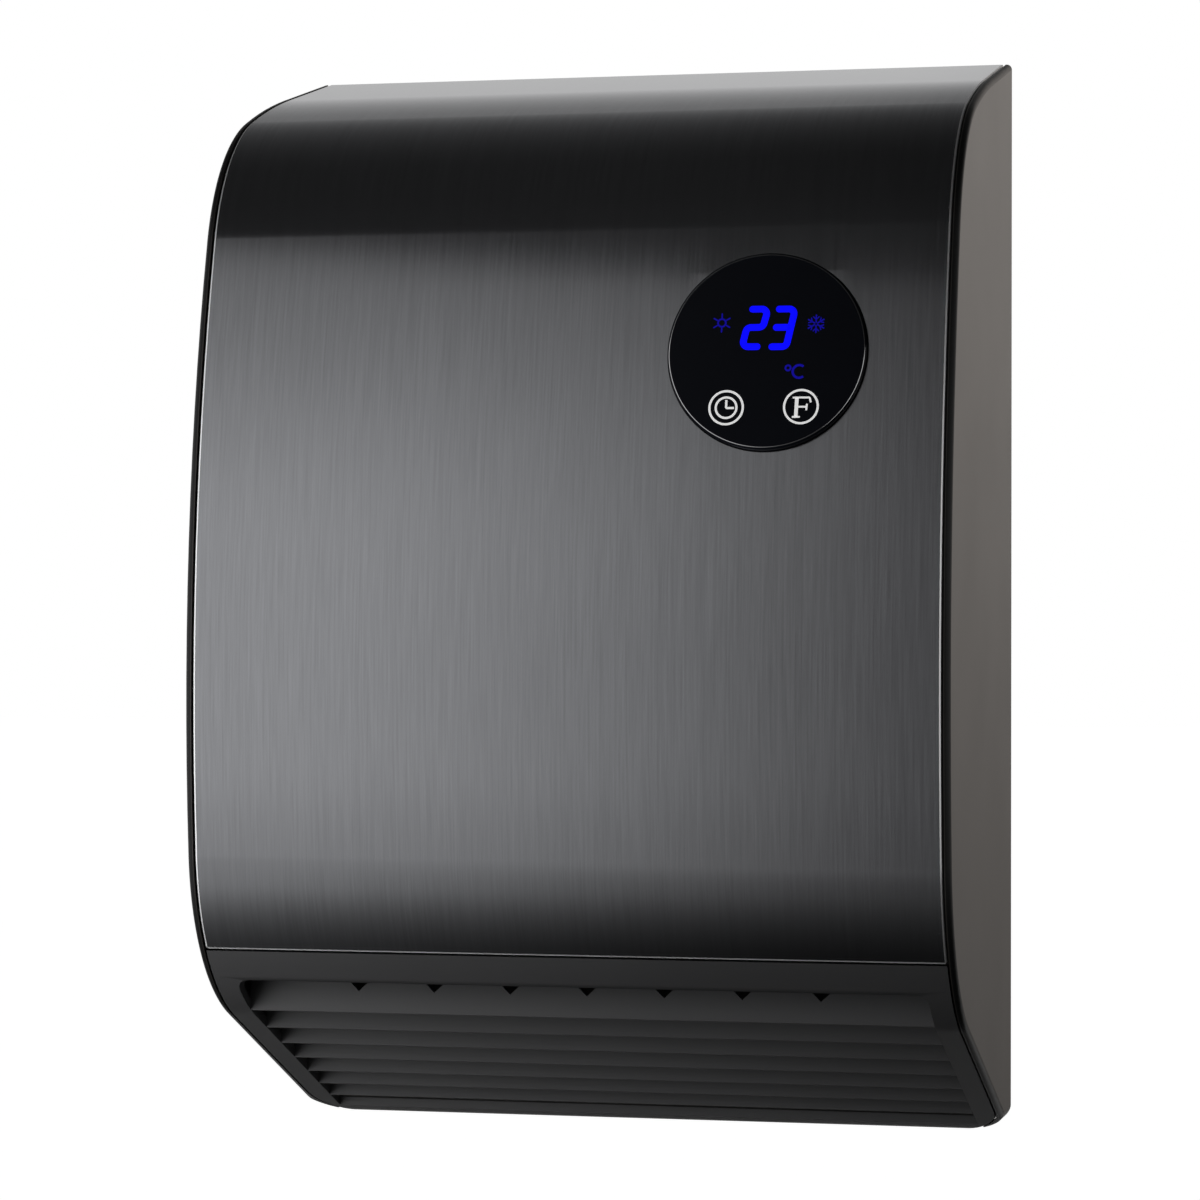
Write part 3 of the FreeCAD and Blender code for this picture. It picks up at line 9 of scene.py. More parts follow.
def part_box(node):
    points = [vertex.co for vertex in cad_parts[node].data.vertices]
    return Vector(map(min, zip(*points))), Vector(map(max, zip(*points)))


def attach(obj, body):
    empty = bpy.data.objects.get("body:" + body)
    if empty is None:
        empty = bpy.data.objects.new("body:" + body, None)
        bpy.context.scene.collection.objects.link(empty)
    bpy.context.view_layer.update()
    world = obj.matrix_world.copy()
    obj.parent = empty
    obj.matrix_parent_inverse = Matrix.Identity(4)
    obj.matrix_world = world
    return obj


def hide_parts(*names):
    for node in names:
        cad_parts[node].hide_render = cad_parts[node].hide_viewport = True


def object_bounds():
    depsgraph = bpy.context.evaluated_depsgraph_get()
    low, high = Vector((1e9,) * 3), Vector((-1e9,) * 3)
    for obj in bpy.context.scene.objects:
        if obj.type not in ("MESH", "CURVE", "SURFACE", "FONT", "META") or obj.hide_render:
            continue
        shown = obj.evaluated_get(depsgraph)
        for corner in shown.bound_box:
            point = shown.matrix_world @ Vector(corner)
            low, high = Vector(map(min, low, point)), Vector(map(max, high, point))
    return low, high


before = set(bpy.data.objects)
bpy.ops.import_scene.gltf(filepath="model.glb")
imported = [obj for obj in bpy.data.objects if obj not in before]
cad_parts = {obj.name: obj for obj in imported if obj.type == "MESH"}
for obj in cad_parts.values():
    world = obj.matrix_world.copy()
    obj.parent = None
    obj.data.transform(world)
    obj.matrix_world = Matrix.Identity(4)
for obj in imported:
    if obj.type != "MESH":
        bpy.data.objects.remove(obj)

bl_info = {
    "name": "Bathroom Wall Fan Heater",
    "version": (1, 0, 0),
    "blender": (4, 5, 0),
    "location": "3D View > Sidebar > Wall Heater",
    "description": "Dresses a wall fan heater and sets a plain studio round it",
    "category": "Object",
}

CAD_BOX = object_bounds()
LOWEST, HIGHEST = CAD_BOX
MM = 0.001
ACROSS = Vector((1.0, 0.0, 0.0))
OUTWARD = Vector((0.0, 0.0, 1.0))
TO_WALL = Vector((0.0, 1.0, 0.0))


class HeaterShape(bpy.types.PropertyGroup):
    """Sizes of the pieces that are drawn here over the frame."""

    top_straight: FloatProperty(
        name="Top straight", description="Flat run of the plate from the wall",
        default=46.878 * MM, unit="LENGTH")
    top_slope: FloatProperty(
        name="Top slope", description="How far the flat run dips from level",
        default=math.radians(13.5), subtype="ANGLE")
    top_bend: FloatProperty(
        name="Top bend radius", description="Slow bend before the shoulder",
        default=300 * MM, unit="LENGTH")
    top_bend_end: FloatProperty(
        name="Top bend end", description="Heading where the shoulder starts",
        default=math.radians(21), subtype="ANGLE")
    shoulder: FloatProperty(
        name="Shoulder radius", description="Tight bend from the top to the front",
        default=60 * MM, unit="LENGTH")
    shoulder_end: FloatProperty(
        name="Shoulder end", description="Heading where the front starts",
        default=math.radians(74.5), subtype="ANGLE")
    front: FloatProperty(
        name="Front radius", description="Wide bow of the front",
        default=512.1005 * MM, unit="LENGTH")
    front_end: FloatProperty(
        name="Front end", description="Heading where the chin starts",
        default=math.radians(95.5), subtype="ANGLE")
    chin: FloatProperty(
        name="Chin radius", description="Bend below the front",
        default=62 * MM, unit="LENGTH")
    sole_slope: FloatProperty(
        name="Sole slope", description="Heading of the straight sole",
        default=math.radians(157), subtype="ANGLE")
    sole: FloatProperty(
        name="Sole", description="Straight run under the grille towards the wall",
        default=100.398 * MM, unit="LENGTH")
    heel: FloatProperty(
        name="Heel radius", description="Bend of the sole near the wall",
        default=14 * MM, unit="LENGTH")
    heel_end: FloatProperty(
        name="Heel end", description="Heading at the wall",
        default=math.radians(177), subtype="ANGLE")
    heel_flat: FloatProperty(
        name="Heel flat", description="Straight run that ends at the wall",
        default=0.99 * MM, unit="LENGTH")
    cheek: FloatProperty(
        name="Cheek thickness", description="Thickness of a side cheek",
        default=2.0 * MM, unit="LENGTH")
    cheek_edge: FloatProperty(
        name="Cheek edge", description="Round on a cheek's outer rim",
        default=1.7 * MM, unit="LENGTH")
    corner_stop: FloatProperty(
        name="Corner stop", description="Depth of the thicker end of a cheek's corner at the wall",
        default=4 * MM, unit="LENGTH")
    corner_fill: FloatProperty(
        name="Corner fill", description="How much thicker that end is",
        default=0.5 * MM, unit="LENGTH")
    tab_gap: FloatProperty(
        name="Tab gap", description="Hairline between a cheek's shell and its tabs",
        default=0.05 * MM, unit="LENGTH")
    corner_across: FloatProperty(
        name="Corner across", description="Half width of the ellipse at a cheek's lower corner",
        default=16 * MM, unit="LENGTH")
    corner_up: FloatProperty(
        name="Corner up", description="Half height of the ellipse at a cheek's lower corner",
        default=8 * MM, unit="LENGTH")
    plate: FloatProperty(
        name="Plate thickness", description="Brushed sheet on the front",
        default=0.8 * MM, unit="LENGTH")
    plate_edge: FloatProperty(
        name="Plate edge", description="Bright break on the sheet's front edges",
        default=0.6 * MM, unit="LENGTH")
    disc_gap: FloatProperty(
        name="Disc gap", description="Shadow gap between the disc and the plate",
        default=0.3 * MM, unit="LENGTH")
    disc_proud: FloatProperty(
        name="Disc proud", description="How far the disc stands above the plate",
        default=2.0 * MM, unit="LENGTH")
    disc_thickness: FloatProperty(
        name="Disc thickness", description="Thickness of the glossy disc",
        default=3.0 * MM, unit="LENGTH")
    disc_chamfer: FloatProperty(
        name="Disc chamfer", description="Chamfer round the front of the disc",
        default=0.6 * MM, unit="LENGTH")
    disc_glint: FloatProperty(
        name="Disc glint", description="Width of the bright line inside the chamfer",
        default=0.12 * MM, unit="LENGTH")
    mark_height: FloatProperty(
        name="Mark height", description="How far a printed mark stands on the disc",
        default=0.03 * MM, unit="LENGTH")
    digit_stroke: FloatProperty(
        name="Digit stroke", description="Width of the lit digits' strokes",
        default=2.0 * MM, unit="LENGTH")
    ring_stroke: FloatProperty(
        name="Ring stroke", description="Width of the touch marks' rings",
        default=0.65 * MM, unit="LENGTH")
    ring_radius: FloatProperty(
        name="Ring radius", description="Middle radius of the touch marks' rings",
        default=4.95 * MM, unit="LENGTH")
    grille_edge: FloatProperty(
        name="Grille edge", description="Round on the edges of the outlet's slats",
        default=0.15 * MM, unit="LENGTH")
    moulding_edge: FloatProperty(
        name="Moulding edge", description="Round on the edges of moulded pieces",
        default=0.3 * MM, unit="LENGTH")
    lip_out: FloatProperty(
        name="Lip out", description="How far the back panel's foot reaches towards the wall",
        default=3.0 * MM, unit="LENGTH")
    lip_down: FloatProperty(
        name="Lip down", description="How far the back panel's foot reaches down",
        default=2.4 * MM, unit="LENGTH")
    sheet_edge: FloatProperty(
        name="Sheet edge", description="Break on the edges of pressed sheet",
        default=0.2 * MM, unit="LENGTH")
    cross_length: FloatProperty(
        name="Cross length", description="Length of a bar of the cross in a screw head",
        default=4.0 * MM, unit="LENGTH")
    cross_width: FloatProperty(
        name="Cross width", description="Width of a bar of that cross",
        default=0.9 * MM, unit="LENGTH")
    cross_depth: FloatProperty(
        name="Cross depth", description="Depth of that cross",
        default=1.2 * MM, unit="LENGTH")
    columns: IntProperty(
        name="Plate columns", description="Strips of the plate across its width",
        default=32, min=4)


class HeaterFinish(bpy.types.PropertyGroup):
    """Colours of the finishes."""

    plate: FloatVectorProperty(
        name="Plate", description="Dark tinted brushed metal",
        default=(0.285, 0.289, 0.303), size=3, subtype="COLOR")
    grille: FloatVectorProperty(
        name="Grille", description="Charcoal moulding",
        default=(0.07, 0.07, 0.072), size=3, subtype="COLOR")
    case: FloatVectorProperty(
        name="Case", description="Satin side panels and back",
        default=(0.024, 0.0215, 0.0195), size=3, subtype="COLOR")
    disc: FloatVectorProperty(
        name="Disc", description="Gloss black disc",
        default=(0.0075, 0.0085, 0.0125), size=3, subtype="COLOR")
    cut_edge: FloatVectorProperty(
        name="Cut edge", description="Bright break along the sheet's edges",
        default=(0.93, 0.94, 0.95), size=3, subtype="COLOR")
    # Painted shade: a darker copy of the case colour on the cheeks' rounded rims, standing in for the shade
    # where they face the front
    case_rim_painted_shade: FloatVectorProperty(
        name="Case rim", description="Dark rounded rim of the side panels",
        default=(0.009, 0.009, 0.009), size=3, subtype="COLOR")
    # Painted highlight: a bright metal finish on a thin band inside the chamfer of the black disc, standing
    # in for the light caught there
    disc_painted_glint: FloatVectorProperty(
        name="Disc rim", description="Bright line inside the disc's chamfer",
        default=(0.45, 0.45, 0.46), size=3, subtype="COLOR")
    digits: FloatVectorProperty(
        name="Digits", description="Lit segments",
        default=(0.002, 0.002, 0.86), size=3, subtype="COLOR")
    icons: FloatVectorProperty(
        name="Icons", description="Dim lit signs",
        default=(0.006, 0.004, 0.28), size=3, subtype="COLOR")
    marks: FloatVectorProperty(
        name="Marks", description="White touch marks",
        default=(0.9, 0.9, 0.9), size=3, subtype="COLOR")


class HeaterStudio(bpy.types.PropertyGroup):
    """Camera, light and floor."""

    camera_place: FloatVectorProperty(
        name="Camera place", description="Where the camera stands",
        default=(0.27533, -1.26464, -0.09504), size=3, subtype="TRANSLATION")
    camera_yaw: FloatProperty(
        name="Camera yaw", description="Turn of the camera to the left",
        default=math.radians(13.14), subtype="ANGLE")
    camera_pitch: FloatProperty(
        name="Camera pitch", description="Tilt of the camera upwards",
        default=math.radians(0.302), subtype="ANGLE")
    camera_roll: FloatProperty(
        name="Camera roll", description="Roll of the camera",
        default=math.radians(0.094), subtype="ANGLE")
    lens: FloatProperty(
        name="Lens", description="Focal length in millimetres on a 36 mm sensor",
        default=119.139, unit="CAMERA")
    floor_drop: FloatProperty(
        name="Floor drop", description="How far the floor lies below the heater",
        default=0.4, unit="LENGTH")
    floor_size: FloatProperty(
        name="Floor size", description="Length of the floor's sides",
        default=40.0, unit="LENGTH")
    floor_paint: FloatVectorProperty(
        name="Floor paint", description="Colour of the floor under the lamp",
        default=(0.3, 0.3, 0.3), size=3, subtype="COLOR")
    floor_glow: FloatProperty(
        name="Floor glow", description="How white the floor shows",
        default=0.98)
    ambient: FloatProperty(
        name="Ambient", description="Even light from all round",
        default=0.08)
    key_power: FloatProperty(
        name="Key power", description="Power of the soft front lamp",
        default=1.05, unit="POWER")
    key_size: FloatProperty(
        name="Key size", description="Length of the lamp's sides",
        default=0.3, unit="LENGTH")
    key_place: FloatVectorProperty(
        name="Key place", description="Where the lamp stands",
        default=(-0.29, -0.33, -0.18), size=3, subtype="TRANSLATION")
    key_aim: FloatVectorProperty(
        name="Key aim", description="Where the lamp points",
        default=(0.0, -0.1, -0.2), size=3, subtype="TRANSLATION")


# Node helpers

FINE_SHARE = 0.35
HAIR_SHARE = 0.85
PIT_SCALE = 0.6


def add(tree, kind, **settings):
    """A node with its settings."""
    node = tree.nodes.new(kind)
    for name, value in settings.items():
        setattr(node, name, value)
    return node


def fill(node, **values):
    """Sets inputs by name, with spaces written as underscores."""
    for name, value in values.items():
        node.inputs[name.replace("_", " ")].default_value = value
    return node


def math_node(tree, operation, *values):
    """Result of a math node on sockets or numbers."""
    node = add(tree, "ShaderNodeMath", operation=operation)
    for slot, value in zip(node.inputs, values):
        if isinstance(value, (int, float)):
            slot.default_value = value
        else:
            tree.links.new(value, slot)
    return node.outputs[0]


def shared(tree, first, second, share):
    """Sum of two values, the first by its share and the second by the rest."""
    rest = math_node(tree, "MULTIPLY", second, 1 - share)
    return math_node(tree, "MULTIPLY_ADD", first, share, rest)


def new_group(name, *values):
    """Node group that takes a vector and some values and gives a height and a shade."""
    group = bpy.data.node_groups.new(name, "ShaderNodeTree")
    sockets = [("Vector", "INPUT", "NodeSocketVector")]
    sockets += [(value, "INPUT", "NodeSocketFloat") for value in values]
    sockets += [(value, "OUTPUT", "NodeSocketFloat") for value in ("Height", "Shade")]
    for label, direction, kind in sockets:
        group.interface.new_socket(name=label, in_out=direction, socket_type=kind)
    return group, add(group, "NodeGroupInput").outputs, add(group, "NodeGroupOutput").inputs


def grain_group():
    """Fine moulded grain with a slow drift of shade, built once."""
    found = bpy.data.node_groups.get("moulded_grain")
    if found:
        return found
    group, taken, given = new_group("moulded_grain", "Scale")
    fine = fill(add(group, "ShaderNodeTexNoise"), Detail=3.0, Roughness=0.6)
    pits = add(group, "ShaderNodeTexVoronoi", feature="SMOOTH_F1")
    slow = fill(add(group, "ShaderNodeTexNoise"), Scale=18.0, Detail=4.0)
    link = group.links.new
    for node in (fine, pits, slow):
        link(taken["Vector"], node.inputs["Vector"])
    link(taken["Scale"], fine.inputs["Scale"])
    link(math_node(group, "MULTIPLY", taken["Scale"], PIT_SCALE), pits.inputs["Scale"])
    link(shared(group, fine.outputs["Fac"], pits.outputs["Distance"], 0.5), given["Height"])
    link(shared(group, fine.outputs["Fac"], slow.outputs["Fac"], FINE_SHARE), given["Shade"])
    return group


def brush_group():
    """Long fine scratches that run along one way of the stretched coordinates, built once."""
    found = bpy.data.node_groups.get("brush_lines")
    if found:
        return found
    group, taken, given = new_group("brush_lines")
    hair = fill(add(group, "ShaderNodeTexNoise"), Scale=1.0, Detail=5.0, Roughness=0.7)
    streak = fill(add(group, "ShaderNodeTexNoise"), Scale=0.18, Detail=3.0, Roughness=0.55)
    link = group.links.new
    for node in (hair, streak):
        link(taken["Vector"], node.inputs["Vector"])
    link(hair.outputs["Fac"], given["Height"])
    link(shared(group, hair.outputs["Fac"], streak.outputs["Fac"], HAIR_SHARE), given["Shade"])
    return group


# Finishes

FINE_LINES = 1500.0
LONG_LINES = 30.0
SATIN_GRAIN = 3000.0
MOULDED_TINT = 0.12
MOULDED_SWING = 0.12
MOULDED_RELIEF = 0.02 * MM
BRUSHED_SWING = 0.2
WIPED_GRAIN = 90.0
WIPED_TINT = 0.15
WIPED_ROUGHNESS = 0.06
WIPED_SWING = 0.5
MASK_GRAIN = 1800.0
MASK_TINT = 0.08
QUARTER_TURN = 0.25


def bare_material(name):
    """Material with an empty tree and the input of its output node."""
    made = bpy.data.materials.new(name)
    made.use_nodes = True
    tree = made.node_tree
    tree.nodes.clear()
    return made, tree, add(tree, "ShaderNodeOutputMaterial").inputs["Surface"]


def new_material(name):
    """Material with its tree, its shader and its object coordinates."""
    made, tree, output = bare_material(name)
    shader = add(tree, "ShaderNodeBsdfPrincipled")
    tree.links.new(shader.outputs["BSDF"], output)
    place = add(tree, "ShaderNodeTexCoord").outputs["Object"]
    return made, tree, shader, place


def grained(tree, place, scale):
    """What the moulded grain gives at a scale."""
    grain = fill(add(tree, "ShaderNodeGroup", node_tree=grain_group()), Scale=scale)
    tree.links.new(place, grain.inputs["Vector"])
    return grain.outputs


def tinted(tree, shader, shade, colour, contrast):
    """Base colour that drifts a little darker and lighter with a shade."""
    mix = add(tree, "ShaderNodeMix", data_type="RGBA")
    tree.links.new(shade, mix.inputs["Factor"])
    mix.inputs["A"].default_value = (*[part * (1 - contrast) for part in colour], 1.0)
    mix.inputs["B"].default_value = (*[min(1.0, part * (1 + contrast)) for part in colour], 1.0)
    tree.links.new(mix.outputs["Result"], shader.inputs["Base Color"])
    return mix.outputs["Result"]


def uneven(tree, shader, shade, roughness, swing):
    """Roughness that swings about its mean with a shade."""
    node = add(tree, "ShaderNodeMapRange")
    tree.links.new(shade, node.inputs["Value"])
    fill(node, To_Min=roughness * (1 - swing), To_Max=roughness * (1 + swing))
    tree.links.new(node.outputs["Result"], shader.inputs["Roughness"])


def bumped(tree, shader, height, distance):
    """Small relief from a height."""
    bump = fill(add(tree, "ShaderNodeBump"), Distance=distance, Strength=1.0)
    tree.links.new(height, bump.inputs["Height"])
    tree.links.new(bump.outputs["Normal"], shader.inputs["Normal"])


def moulded(name, colour, roughness, scale=2500.0, specular=0.5, metallic=0.0):
    """Moulded plastic, rubber or cast finish with grain."""
    made, tree, shader, place = new_material(name)
    grain = grained(tree, place, scale)
    tinted(tree, shader, grain["Shade"], colour, MOULDED_TINT)
    uneven(tree, shader, grain["Shade"], roughness, MOULDED_SWING)
    bumped(tree, shader, grain["Height"], MOULDED_RELIEF)
    fill(shader, Specular_IOR_Level=specular, Metallic=metallic)
    return made


def brushed(name, colour, roughness, stretch, relief=0.004 * MM, contrast=0.15, across=0.0, metallic=1.0):
    """Metal with fine lines: stretch is lines per metre along each axis, across spreads its gloss along X."""
    made, tree, shader, place = new_material(name)
    mapping = fill(add(tree, "ShaderNodeMapping"), Scale=stretch)
    tree.links.new(place, mapping.inputs["Vector"])
    lines = add(tree, "ShaderNodeGroup", node_tree=brush_group())
    tree.links.new(mapping.outputs["Vector"], lines.inputs["Vector"])
    tinted(tree, shader, lines.outputs["Shade"], colour, contrast)
    uneven(tree, shader, lines.outputs["Shade"], roughness, BRUSHED_SWING)
    bumped(tree, shader, lines.outputs["Height"], relief)
    fill(shader, Metallic=metallic)
    if across:
        round_x = add(tree, "ShaderNodeTangent", direction_type="RADIAL", axis="X")
        tree.links.new(round_x.outputs["Tangent"], shader.inputs["Tangent"])
        fill(shader, Anisotropic=across, Anisotropic_Rotation=QUARTER_TURN)
    return made


def lit(name, colour, strength):
    """Mark that shines: its light is a little uneven, as through a printed mask."""
    made, tree, shader, place = new_material(name)
    colours = tinted(tree, shader, grained(tree, place, MASK_GRAIN)["Shade"], colour, MASK_TINT)
    tree.links.new(colours, shader.inputs["Emission Color"])
    fill(shader, Emission_Strength=strength, Roughness=0.4, Specular_IOR_Level=0.05)
    return made


def gloss(name, colour, specular, metallic=0.0):
    """Polished finish with a trace of wiping marks in its gloss."""
    made, tree, shader, place = new_material(name)
    shade = grained(tree, place, WIPED_GRAIN)["Shade"]
    tinted(tree, shader, shade, colour, WIPED_TINT)
    uneven(tree, shader, shade, WIPED_ROUGHNESS, WIPED_SWING)
    fill(shader, Specular_IOR_Level=specular, Metallic=metallic)
    return made


def finishes(finish):
    """One material for each slot of the record, then those of edges and lit marks."""
    return {
        "dark_plate": brushed(
            "brushed_plate", finish.plate, 0.18, (FINE_LINES, LONG_LINES, LONG_LINES), relief=0.002 * MM,
            contrast=0.35, across=0.75),
        "grille_plastic": moulded("charcoal_moulding", finish.grille, 0.5, specular=0.3),
        "case_plastic": moulded("satin_side", finish.case, 0.42, SATIN_GRAIN, specular=0.4),
        "lens": gloss("gloss_disc", finish.disc, 0.05),
        "zinc_steel": brushed("zinc_plate", (0.55, 0.56, 0.58), 0.36, (260.0, 260.0, 60.0)),
        "rubber": moulded("matt_rubber", (0.02, 0.02, 0.02), 0.8, scale=1800.0),
        "inner_plastic": moulded("inner_moulding", (0.02, 0.02, 0.021), 0.55),
        "impeller_plastic": moulded("fan_moulding", (0.06, 0.06, 0.065), 0.5),
        "board": moulded("solder_mask", (0.02, 0.13, 0.06), 0.3, scale=700.0),
        "bronze": moulded("sintered_bronze", (0.55, 0.38, 0.2), 0.4, scale=5000.0, metallic=1.0),
        "lamination": brushed("stacked_sheet", (0.25, 0.26, 0.28), 0.4, (2000.0, 40.0, 40.0)),
        "copper": brushed("enamelled_wire", (0.62, 0.28, 0.14), 0.32, (40.0, 40.0, 2200.0)),
        "heat_plastic": moulded("heat_moulding", (0.2, 0.12, 0.07), 0.5),
        "aluminium": brushed("mill_aluminium", (0.7, 0.71, 0.72), 0.38, (30.0, 400.0, 400.0)),
        "part_plastic": moulded("relay_moulding", (0.05, 0.12, 0.3), 0.35),
        "cut_edge": brushed("cut_edge", finish.cut_edge, 0.3, (900.0, 900.0, 900.0), metallic=0.5),
        # Painted shade: the same satin as the case, made darker and less glossy for the cheeks' rims
        "case_rim_painted_shade": moulded("satin_rim_painted_shade", finish.case_rim_painted_shade, 0.45, SATIN_GRAIN, specular=0.2),
        # Painted highlight: bright metal for the glint band of the black disc
        "disc_painted_glint": gloss("disc_painted_glint", finish.disc_painted_glint, 0.5, 1.0),
        "digits": lit("blue_digits", finish.digits, 1.0),
        "icons": lit("blue_icons", finish.icons, 0.7),
        "marks": lit("white_marks", finish.marks, 0.5),
    }


MATERIALS = {}


def finish_for(name):
    """Material of a slot, an edge or a mark, all made on the first call."""
    if not MATERIALS:
        MATERIALS.update(finishes(bpy.context.scene.heater_finish))
    return MATERIALS[name]


# Mesh helpers

# Shading breaks at SHARP or FACET, edges past CORNER are rounded, and faces within FLAT become one.
SHARP = math.radians(32)
FACET = math.radians(15)
CORNER = math.radians(48)
FLAT = math.radians(0.2)
WELD = 0.002 * MM
ROUND_SEGMENTS = 128
OVAL_SEGMENTS = 192
MATERIAL_SLOTS = 2
LARGE_FACES_FIRST = 100


def piece(name, bm, materials, body="case", replaced=(), sharp=SHARP):
    """Makes an object at the origin from a bmesh, riding on a body."""
    mesh = bpy.data.meshes.new(name)
    bm.to_mesh(mesh)
    bm.free()
    for material in materials:
        mesh.materials.append(material)
    mesh.shade_smooth()
    mesh.set_sharp_from_angle(angle=sharp)
    made = bpy.data.objects.new(name, mesh)
    bpy.context.scene.collection.objects.link(made)
    weighted = made.modifiers.new("Even shading", "WEIGHTED_NORMAL")
    weighted.keep_sharp = True
    weighted.weight = LARGE_FACES_FIRST
    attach(made, body)
    if replaced:
        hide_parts(*replaced)


def merged_copy(node):
    """Welded copy of a frame node's mesh, with its flat faces made whole."""
    bm = bmesh.new()
    bm.from_mesh(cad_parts[node].data)
    bmesh.ops.remove_doubles(bm, verts=bm.verts, dist=WELD)
    bmesh.ops.dissolve_limit(bm, angle_limit=FLAT, verts=bm.verts, edges=bm.edges)
    return bm


def only_edges(items):
    """The edges among what an operator gives."""
    return [item for item in items if isinstance(item, bmesh.types.BMEdge)]


def only_verts(items):
    """The vertices among what an operator gives."""
    return [item for item in items if isinstance(item, bmesh.types.BMVert)]


def sharp_edges(bm):
    """Edges that turn sharply."""
    return [edge for edge in bm.edges if edge.is_manifold and edge.calc_face_angle(0.0) > CORNER]


def bevelled(bm, edges, width, segments=2, clamp=True):
    """Rounds edges and gives the new faces."""
    return bmesh.ops.bevel(
        bm, geom=edges, offset=width, offset_type="OFFSET", segments=segments, profile=0.5,
        affect="EDGES", clamp_overlap=clamp, material=-1)["faces"]


def mirrored(bm):
    """Swaps left and right, and leaves the faces pointing as they did."""
    bmesh.ops.scale(bm, vec=(-1.0, 1.0, 1.0), verts=bm.verts)
    bmesh.ops.reverse_faces(bm, faces=bm.faces)


def sliced(bm, place, normal):
    """Takes away what lies beyond a plane and closes the cut."""
    everything = bm.verts[:] + bm.edges[:] + bm.faces[:]
    made = bmesh.ops.bisect_plane(bm, geom=everything, plane_co=place, plane_no=normal, clear_outer=True)
    bmesh.ops.holes_fill(bm, edges=only_edges(made["geom_cut"]))


def swept(bm, edges, point, forward, axis, moves, step):
    """Draws edges along moves, leaving faces: a length and no turn, or a radius and a turn about the axis."""
    for measure, turn in moves:
        if turn:
            centre = point + axis.cross(forward) * math.copysign(measure, turn)
            steps = max(1, math.ceil(abs(turn) / step))
            drawn = bmesh.ops.spin(bm, geom=edges, cent=centre, axis=axis, angle=turn, steps=steps)
            rotation = Matrix.Rotation(turn, 3, axis)
            point = centre + rotation @ (point - centre)
            forward = rotation @ forward
            edges = only_edges(drawn["geom_last"])
        else:
            drawn = bmesh.ops.extrude_edge_only(bm, edges=edges)["geom"]
            ends = only_verts(drawn)
            bmesh.ops.translate(bm, verts=ends, vec=forward * measure)
            edges = [edge for edge in only_edges(drawn) if all(vert in ends for vert in edge.verts)]
            point = point + forward * measure
    return point, forward


def cut_by(bm, cutter):
    """What is left of a closed bmesh after a closed cutter is taken away, with its faces' materials kept."""
    objects = []
    for name, shape in (("stock", bm), ("cutter", cutter)):
        mesh = bpy.data.meshes.new(name)
        shape.to_mesh(mesh)
        shape.free()
        # The boolean keeps a face's material number only where the mesh has a slot for it.
        for _ in range(MATERIAL_SLOTS):
            mesh.materials.append(None)
        made = bpy.data.objects.new(name, mesh)
        bpy.context.scene.collection.objects.link(made)
        objects.append(made)
    stock, tool = objects
    boolean = stock.modifiers.new("Cut", "BOOLEAN")
    boolean.operation = "DIFFERENCE"
    boolean.solver = "EXACT"
    boolean.object = tool
    graph = bpy.context.evaluated_depsgraph_get()
    result = bmesh.new()
    result.from_object(stock, graph)
    for made in objects:
        mesh = made.data
        bpy.data.objects.remove(made)
        bpy.data.meshes.remove(mesh)
    return result


def block(low, high):
    """Closed box between two corners."""
    bm = bmesh.new()
    low, high = Vector(low), Vector(high)
    sides = Matrix.Diagonal((*(high - low), 1.0))
    bmesh.ops.create_cube(bm, size=1.0, matrix=Matrix.Translation((low + high) / 2) @ sides)
    return bm


def drum(radius, low, high, segments=ROUND_SEGMENTS):
    """Closed round bar along Z."""
    bm = bmesh.new()
    bmesh.ops.create_cone(
        bm, cap_ends=True, cap_tris=False, segments=segments, radius1=radius, radius2=radius,
        depth=high - low, matrix=Matrix.Translation((0, 0, (low + high) / 2)))
    return bm


def oval_bar(x, z, half_x, half_z, low, high):
    """Closed bar along Y with an oval outline."""
    bm = drum(1.0, low, high, OVAL_SEGMENTS)
    turn = Matrix(((half_x, 0, 0, x), (0, 0, 1, 0), (0, half_z, 0, z), (0, 0, 0, 1)))
    bmesh.ops.transform(bm, matrix=turn, verts=bm.verts)
    bmesh.ops.recalc_face_normals(bm, faces=bm.faces)
    return bm


# Side profile

PROFILE_STEP = math.radians(1.5)
LEAN_ROUNDS = 8


def front_bends(shape):
    """Radius, first heading and last heading of each bend from the top to the end of the front."""
    return [
        (shape.top_bend, shape.top_slope, shape.top_bend_end),
        (shape.shoulder, shape.top_bend_end, shape.shoulder_end),
        (shape.front, shape.shoulder_end, shape.front_end),
    ]


def profile_moves(shape, chin_turn):
    """Moves of the outer profile from the wall at the top to a turn into the chin."""
    bends = [(radius, last - first) for radius, first, last in front_bends(shape)]
    return [(shape.top_straight, 0.0), *bends, (shape.chin, chin_turn)]


def chin_turn_to(shape, height):
    """How far the chin has turned where the profile passes a height below it."""
    z = HIGHEST.z - shape.top_straight * math.sin(shape.top_slope)
    for radius, first, last in front_bends(shape):
        z += radius * (math.cos(last) - math.cos(first))
    reached = math.acos(math.cos(shape.front_end) - (z - height) / shape.chin)
    return reached - shape.front_end


def profile_sheet(shape, left, right, columns, moves):
    """Faces along the outer profile from the wall at the top, between two places across it."""
    bm = bmesh.new()
    start = Vector((0.0, HIGHEST.y, HIGHEST.z))
    edge = bm.edges.new([bm.verts.new((x, start.y, start.z)) for x in (left, right)])
    if columns > 1:
        bmesh.ops.subdivide_edges(bm, edges=[edge], cuts=columns - 1)
    forward = Vector((0.0, -math.cos(shape.top_slope), -math.sin(shape.top_slope)))
    swept(bm, bm.edges[:], start, forward, ACROSS, moves, PROFILE_STEP)
    bmesh.ops.remove_doubles(bm, verts=bm.verts, dist=WELD)
    bmesh.ops.recalc_face_normals(bm, faces=bm.faces)
    return bm


